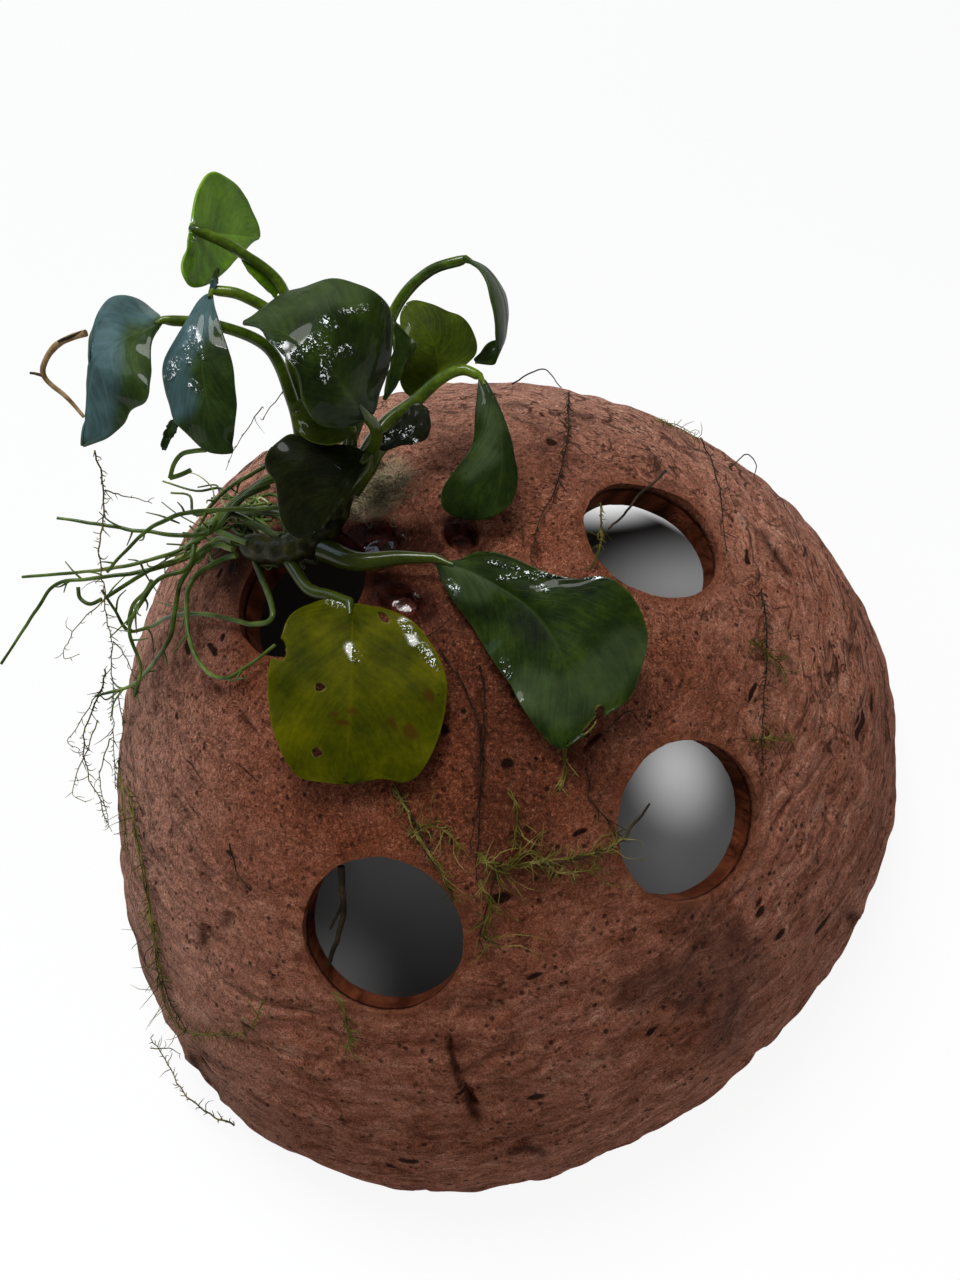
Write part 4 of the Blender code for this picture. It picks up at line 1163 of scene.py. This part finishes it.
def rootMesh(points, radius, seed):
    path = smoothPath(points, 9)
    radii = []
    for k, point in enumerate(path):
        t = k / (len(path) - 1)
        swell = 1 + 0.14 * noise.noise(point / mm * 0.5 + Vector((seed, 0, 0)))
        radii.append(radius * mm * swell * (1 - (1 - rootLook["tip"]) * t))
        shake = Vector(noise.noise_vector(point / mm * 0.45 + Vector((0, seed, 0))))
        path[k] = point + shake * 0.16 * mm * min(1, 6 * t, 6 * (1 - t))
    return tubes([(path, radii)], 3)


def anyWay(dice):
    return Vector([dice.uniform(-1, 1) for axis in range(3)])


# the side rootlets of a main root: short, fine, a little curved
def rootlets(points, radius, dice, count):
    path = smoothPath(points, 9)
    made = []
    for number in range(count):
        k = dice.randint(len(path) // 3, len(path) - 2)
        ahead = (path[k + 1] - path[k]).normalized()
        way = (ahead * 0.8 + anyWay(dice)).normalized()
        bend = anyWay(dice)
        long = dice.uniform(1.5, 4.5) * mm
        end = path[k] + way * long + bend * long * 0.35
        line = smoothPath([path[k], path[k] + way * long * 0.5, end], 4)
        made.append((line, [radius * mm * (0.45 - 0.3 * j / len(line)) for j in range(len(line))]))
    return tubes(made, 1)


# the loose tangle: fine roots that run from the stem out over the shell and hang past its side
def tangleMesh(dice, count, thin, thick):
    made = []
    for number in range(count):
        startX, startY, endX, endY, rise, low = (
            dice.uniform(*tangleLook[key]) for key in ("startX", "startY", "endX", "endY", "rise", "low"))
        knots = []
        for step in range(7):
            t = step / 6
            x = startX + (endX - startX) * t + dice.uniform(-9, 9) * (step not in (0, 6))
            bow = tangleLook["bow"] * math.sin(t * 3.1)
            y = startY + (endY - startY) * t + bow * dice.uniform(-0.6, 0.5) + dice.uniform(-5, 5)
            height = low + rise * math.sin(math.pi * (0.15 + 0.8 * t))
            reach = (over(x, y, height) - lookout["place"]).length / mm
            knots.append(sight(x, y, min(reach, tangleLook["furthest"] + 4 * t)))
        line = smoothPath(knots, 5)
        wide = dice.uniform(thin, thick)
        made.append((line, [wide * mm * (1.1 - 0.6 * j / len(line)) for j in range(len(line))]))
    return tubes(made, 1)


greenRoot, paleRoot = fibreFinish("greenRoot"), fibreFinish("paleRoot")
rootDice = random.Random(7)
for seed, (name, points) in enumerate(roots.items()):
    side = rootlets(points, rootLook["radius"], rootDice, rootLook["rootlets"])
    mesh = joined([rootMesh(points, rootLook["radius"], seed * 5.1), side], [0, 0])
    addPiece(name.replace("root_", "feeler_"), mesh, [greenRoot], name)
# a root that leaves the shell at the left, two short ones beside it and the two lines of the green
# hook. The loop adds the bundle that hangs from the stem
looseRoots = [
    sightPath(over(222, 545, 3.0), (185, 555, 161.5), (150, 570, 160.5), (105, 598, 161)),
    sightPath((128, 625, 164), (133, 605, 163), (145, 592, 162), (152, 580, 161.5)),
    sightPath((78, 587, 162), (80, 598, 162.2), (90, 604, 162), (102, 599, 162)),
    sightPath((206, 450, 138), (194, 451, 138.4), (182, 454, 139), (174, 464, 139.4), (170, 478, 140)),
    sightPath((170, 478, 140), (180, 475, 139.8), (191, 470, 139.6))]
for k in range(7):
    looseRoots.append(sightPath((300 - 5 * k, 450 + 6 * k, 151 + 0.4 * k),
                                (276 - 6 * k, 470 + 5 * k, 153.5), (248 - 5 * k, 490 + 6 * k, 156),
                                (228 - 7 * k, 506 + 7 * k, 158), (214 - 3 * k, 522 + 4 * k, 160)))
looseLines = [smoothPath(line, 6) for line in looseRoots]
extra = tubes([(line, [rootLook["looseRadius"] * mm] * len(line)) for line in looseLines], 2)
tangle = tangleMesh(rootDice, *tangleLook["green"])
addPiece("tangleGreen", joined([tangle, extra], [0, 0]), [greenRoot])
addPiece("tanglePale", tangleMesh(rootDice, *tangleLook["pale"]), [paleRoot])


# the twig and the moss
print("moss")
strands = {
    "dead_twig": sightPath((86, 333, 138.0), (62, 341, 139), (46, 360, 140), (45, 377, 140.5),
                           (65, 396, 141), (84, 417, 141.5)),
    "moss_hanging": sightPath((94, 450, 139.8), (103, 480, 142), (102, 520, 146), (99, 550, 150.5),
                              (104, 592, 156), (110, 640, 162), (113, 690, 166.5), (113, 740, 168.5),
                              (116, 790, 170.5)),
    "moss_tuft": sightPath((106, 668, 166.5), (98, 700, 168), (84, 742, 169), (90, 780, 171),
                           (108, 824, 173)),
    "moss_at_rim": sightPath((234, 1123, 171.2), (208, 1114, 172.4), (184, 1093, 175.2),
                             (164, 1060, 177.8), (151, 1036, 180)),
}


# a strand of moss: a wiry stem with fine hairs and, here and there, a longer curled one
def mossWires(path, dice, stem=0.12, hair=1.0, every=0.5, tuft=0.15):
    made = [(path, [stem * mm * (1 - 0.5 * k / (len(path) - 1)) for k in range(len(path))])]
    due, travelled = 0.0, 0.0
    for a, b in zip(path, path[1:]):
        ahead = b - a
        length = max(ahead.length / mm, 1e-6)
        ahead.normalize()
        while due < travelled + length:
            at = a.lerp(b, (due - travelled) / length)
            side = ahead.orthogonal().normalized()
            side.rotate(Matrix.Rotation(dice.uniform(0, 2 * math.pi), 3, ahead))
            long = hair * dice.uniform(0.5, 1.4) * mm * (2.4 if dice.random() < tuft else 1)
            curl = anyWay(dice) * 0.5
            way = (ahead * dice.uniform(0.1, 1.2) + side).normalized()
            line = [at, at + way * long * 0.5, at + (way + curl * 0.5) * long * 0.8, at + (way + curl) * long]
            made.append((line, [stem * 0.55 * mm, stem * 0.5 * mm, stem * 0.4 * mm, stem * 0.15 * mm]))
            due += every * dice.uniform(0.4, 1.6)
        travelled += length
    return made


# a path with seeded shakes, so that no strand runs smooth
def shaken(points, dice, amount, steps=6):
    path = smoothPath(points, steps)
    shift = Vector([dice.uniform(0, 50) for axis in range(3)])
    return [p + Vector(noise.noise_vector(p / mm * 0.55 + shift)) * amount * mm
            + Vector(noise.noise_vector(p / mm * 1.7 + shift)) * amount * 0.35 * mm for p in path]


dice = random.Random(41)
mossSkin, darkSkin, twigSkin = (fibreFinish(name) for name in ("mossOlive", "mossDark", "twigTan"))
for name, points in strands.items():
    if name == "dead_twig":
        mesh = rootMesh(points, 0.42, 3.3)
        addPiece("twig", mesh, [twigSkin], name)
    else:
        wires = mossWires(shaken(points, dice, 0.45), dice, 0.13, 0.8, 0.55)
        addPiece(name.replace("moss_", "wisp_"), tubes(wires, 0), [mossSkin], name)

# moss on the shell: lines in the frame, the gap between its hairs and their length, in mm
shellMoss = [
    ([(130, 790), (140, 850), (150, 900), (160, 955), (168, 1000), (185, 1028), (215, 1032), (250, 1028),
      (265, 1000)], 0.9, 1.2),
    ([(150, 905), (156, 935), (166, 985)], 0.5, 1.2),
    ([(395, 785), (406, 808), (415, 830), (428, 852), (440, 870), (455, 900)], 0.6, 1.3),
    ([(412, 838), (428, 827), (446, 832), (465, 850)], 0.4, 1.5),
    ([(480, 860), (510, 864), (540, 862), (575, 856), (605, 850), (622, 838)], 0.4, 1.5),
    ([(478, 852), (500, 870), (530, 850), (560, 872), (600, 866)], 0.5, 1.6),
    ([(480, 880), (490, 905), (486, 930), (500, 950)], 0.6, 1.5),
    ([(510, 790), (518, 815), (512, 850)], 0.8, 1.2),
    ([(750, 640), (768, 655), (785, 680)], 0.45, 1.4),
    ([(748, 742), (768, 737), (792, 740)], 0.45, 1.2),
    ([(600, 505), (601, 540), (592, 570)], 0.7, 0.7),
    ([(565, 745), (563, 770), (560, 790)], 0.5, 1.3),
    ([(335, 990), (345, 1010), (350, 1045)], 0.6, 1.0),
    ([(345, 1020), (352, 1032), (345, 1045)], 0.4, 1.2),
    ([(120, 760), (126, 800), (130, 850)], 1.2, 0.9),
    ([(655, 420), (680, 432), (700, 442)], 0.5, 1.0)]
shellMossDark = [
    ([(760, 590), (765, 640), (762, 700), (760, 765)], 0.35, 0.8),
    ([(568, 395), (567, 440), (555, 490), (540, 520), (530, 560)], 0.4, 0.6),
    ([(440, 650), (466, 690), (480, 740), (478, 800), (470, 850)], 1.2, 0.4),
    ([(480, 665), (484, 700), (482, 760), (478, 830), (476, 880)], 1.0, 0.5),
    ([(700, 440), (716, 480), (725, 555)], 1.2, 0.5),
    ([(585, 768), (588, 785), (590, 800), (605, 820), (622, 838)], 1.0, 0.7),
    ([(540, 866), (575, 858), (605, 850), (622, 838)], 0.6, 0.8),
    ([(600, 735), (628, 712), (640, 728)], 1.2, 0.8),
    ([(500, 860), (488, 900), (478, 945)], 0.6, 0.9),
    ([(395, 785), (412, 812), (430, 850), (455, 900)], 0.9, 0.8),
    ([(232, 842), (238, 870), (252, 890)], 1.2, 0.6),
    ([(130, 790), (146, 870), (166, 985), (188, 1030)], 0.8, 0.9),
    ([(400, 620), (420, 640), (450, 620)], 1.0, 0.6)]
for name, lines, skin, stem, strandsEach in (("shellMoss", shellMoss, mossSkin, 0.10, 2),
                                             ("shellMossDark", shellMossDark, darkSkin, 0.11, 1)):
    wires = []
    for line, every, hair in lines:
        for turn in range(strandsEach):
            laid = [over(x + dice.uniform(-3, 3) * turn, y + dice.uniform(-3, 3) * turn, 0.30)
                    for x, y in line]
            wires += mossWires(shaken(laid, dice, 0.22), dice, stem, hair * 1.1, every, 0.3)
    addPiece(name, tubes(wires, 0), [skin])


# the mat of fine curled fibres on the shell beside the eyes: its middle and spread in pixels, how
# many fibres it has, and their half thickness in mm
matLook = dict(x=(374, 14), y=(493, 13), fibres=120, radius=0.05)


def matMesh(dice):
    made = []
    for number in range(matLook["fibres"]):
        x, y = dice.gauss(*matLook["x"]), dice.gauss(*matLook["y"])
        knots = [over(x + dice.uniform(-10, 10), y + dice.uniform(-8, 8), dice.uniform(-0.1, 0.8))
                 for knot in range(4)]
        line = smoothPath(knots, 4)
        made.append((line, [matLook["radius"] * mm] * len(line)))
    return tubes(made, 1)


addPiece("shellMat", matMesh(random.Random(23)), [fibreFinish("mossPale")])

# twigs and loose strands: their paths, and their half thickness in mm
twigs = [
    (shellPath((664, 474, 0.4), (652, 487, 0.9), (640, 496, 0.6), (626, 510, -0.8), (612, 522, -1.4)), 0.22),
    (shellPath((338, 868, -0.8), (337, 890, -1.6), (336, 920, -2.0), (330, 945, -2.0),
               (322, 972, -1.6)), 0.42),
    (shellPath((337, 905, -1.8), (328, 925, -2.0), (324, 935, -1.6)), 0.2),
    (shellPath((625, 838, 0.3), (632, 826, 0.0), (644, 815, -0.6), (653, 806, -1.0)), 0.2),
    (shellPath((512, 388, 0.5), (530, 385, 1.8), (545, 386, 2.2), (560, 392, 0.6)), 0.12),
    (shellPath((728, 470, 0.4), (738, 466, 2.0), (748, 474, 1.8), (752, 484, 0.4)), 0.10),
    (sightPath((84, 332, 138.0), (70, 336, 138.2), (58, 342, 138.6)), 0.2),
    (sightPath((45, 377, 140.5), (38, 374, 140.6), (30, 373, 140.8)), 0.22)]
wires = []
for points, wide in twigs:
    line = shaken(points, dice, 0.15)
    wires.append((line, [wide * mm * (1 - 0.4 * k / len(line)) for k in range(len(line))]))
addPiece("twigsFine", tubes(wires, 2), [darkSkin])
# the finer strands that hang with the moss at the left, and fork off the one beside the rim: their
# paths, half thickness and the gap between their hairs, in mm
looseMoss = [
    (sightPath((107, 490, 143), (118, 494, 143), (130, 498, 143.5), (152, 504, 144)), 0.10, 1.4),
    (sightPath((104, 600, 157), (84, 618, 158), (70, 640, 160), (62, 658, 161), (78, 655, 161)), 0.10, 1.2),
    (sightPath((112, 640, 162), (128, 660, 162), (140, 690, 164)), 0.09, 1.2),
    (sightPath((100, 690, 167), (86, 712, 168), (68, 742, 169), (80, 750, 169)), 0.10, 0.9),
    (sightPath((98, 720, 168), (82, 760, 169.5), (72, 792, 171), (86, 802, 171)), 0.10, 0.9),
    (sightPath((110, 740, 169), (100, 780, 170), (112, 832, 172.5)), 0.10, 0.9),
    (sightPath((118, 690, 166.5), (122, 730, 168), (118, 780, 170)), 0.09, 1.0),
    (sightPath((150, 1048, 179.5), (166, 1049, 179), (180, 1053, 178.5)), 0.09, 1.4),
    (sightPath((262, 405, 150), (240, 440, 152), (225, 470, 155)), 0.09, 2.0),
    (sightPath((290, 365, 146), (286, 385, 148), (262, 420, 150)), 0.10, 3.0)]
wires = []
for points, stem, every in looseMoss:
    wires += mossWires(shaken(points, dice, 0.35), dice, stem, 0.8, every, 0.25)
addPiece("looseMoss", tubes(wires, 0), [mossSkin])


# floor, light and camera
print("floor and light")
# painted light: the floor glows outside the shell, a little brighter towards the front, so that shadows stay
# faint; under the shell it has no glow and is grey, painted shade
stageLook = dict(size=3.0, glow=0.92, white=(0.08, 0.08, 0.08), paintedShadeGrey=(0.30, 0.30, 0.30), foot=56.0,
                 key=2.4, blue=0.5, spark=0.12, sky=0.40, shine=0.07,
                 # painted pools of light: patches that glow on the floor under the shell, where daylight
                 # through the holes would fall: place, half sizes in mm, light
                 spots=((26, 49, 11, 5.0, 0.95), (36, 30, 16, 9, 0.20), (29, -2, 6.5, 9.0, 0.36),
                        (-28, -32, 9, 9, 0.06)))


def addFloor():
    sheet = bmesh.new()
    bmesh.ops.create_grid(sheet, x_segments=1, y_segments=1, size=stageLook["size"] / 2)
    floor = looseObject(meshOf(sheet, "floor"), "floor")
    material, shader, place = newMaterial("floorWhite")
    x, y = place.axes()[:2]
    outside = ((x * x + y * y) ** 0.5).step(stageLook["foot"] - 2, stageLook["foot"] + 1)
    # painted light: the glow outside the shell, a little brighter towards the front
    glow = y.step(-160, 170, stageLook["glow"], stageLook["glow"] - 0.07) * outside
    # painted pools of light, glowing on the floor under the shell
    for spotX, spotY, wide, high, light in stageLook["spots"]:
        away = (((x - spotX) / wide) ** 2 + ((y - spotY) / high) ** 2) ** 0.5
        glow = glow + away.step(0.0, 1.5, light, 0.0) * (1 - outside)
    # painted shade: under the shell the floor is grey and has no glow
    connect(shader, colour=outside.mixed(stageLook["paintedShadeGrey"], stageLook["white"]), rough=0.9)
    shader.inputs["Emission Strength"].default_value = 1.0
    place.tree.links.new(place.vector(glow, glow, glow).socket, shader.inputs["Emission Color"])
    floor.data.materials.append(material)


def addLight(name, place, aim, size, power, colour=(1, 1, 1)):
    light = bpy.data.lights.new(name, "AREA")
    light.shape, light.size, light.energy, light.color = "DISK", size, power, colour
    lamp = bpy.data.objects.new(name, light)
    lamp.location = place
    lamp.rotation_euler = (Vector(aim) - Vector(place)).to_track_quat("-Z", "Y").to_euler()
    bpy.context.scene.collection.objects.link(lamp)


def addCamera():
    data = bpy.data.cameras.new("camera")
    data.sensor_width = lookout["sensor"]
    data.lens = lookout["sensor"] * lookout["focal"] / (2 * lookout["middle"][1])
    data.clip_start = 0.001
    camera = bpy.data.objects.new("camera", data)
    axes = Matrix((lookout["right"], lookout["up"], lookout["back"])).transposed().to_4x4()
    axes.translation = lookout["place"]
    camera.matrix_world = axes
    bpy.context.scene.collection.objects.link(camera)
    bpy.context.scene.camera = camera


addFloor()
addLight("keyLight", (-0.06, 0.22, 0.52), (0, 0, 0.03), 0.25, stageLook["key"])
addLight("blueLight", (-0.36, 0.30, 0.34), (-0.02, 0.01, 0.06), 0.32, stageLook["blue"], (0.62, 0.80, 1.0))
addLight("sparkLight", (-0.03, 0.10, 0.58), (-0.01, 0.01, 0.06), 0.03, stageLook["spark"])
world = bpy.data.worlds.new("world")
world.use_nodes = True
sky = Shade(world.node_tree)
mirror = sky.node("ShaderNodeLightPath", {}, {}, 3)
background = world.node_tree.nodes["Background"]
background.inputs[0].default_value = (0.95, 0.97, 1.0, 1)
world.node_tree.links.new((stageLook["sky"] - mirror * (stageLook["sky"] - stageLook["shine"])).socket,
                          background.inputs[1])
bpy.context.scene.world = world
bpy.context.scene.view_settings.view_transform = "Standard"
addCamera()
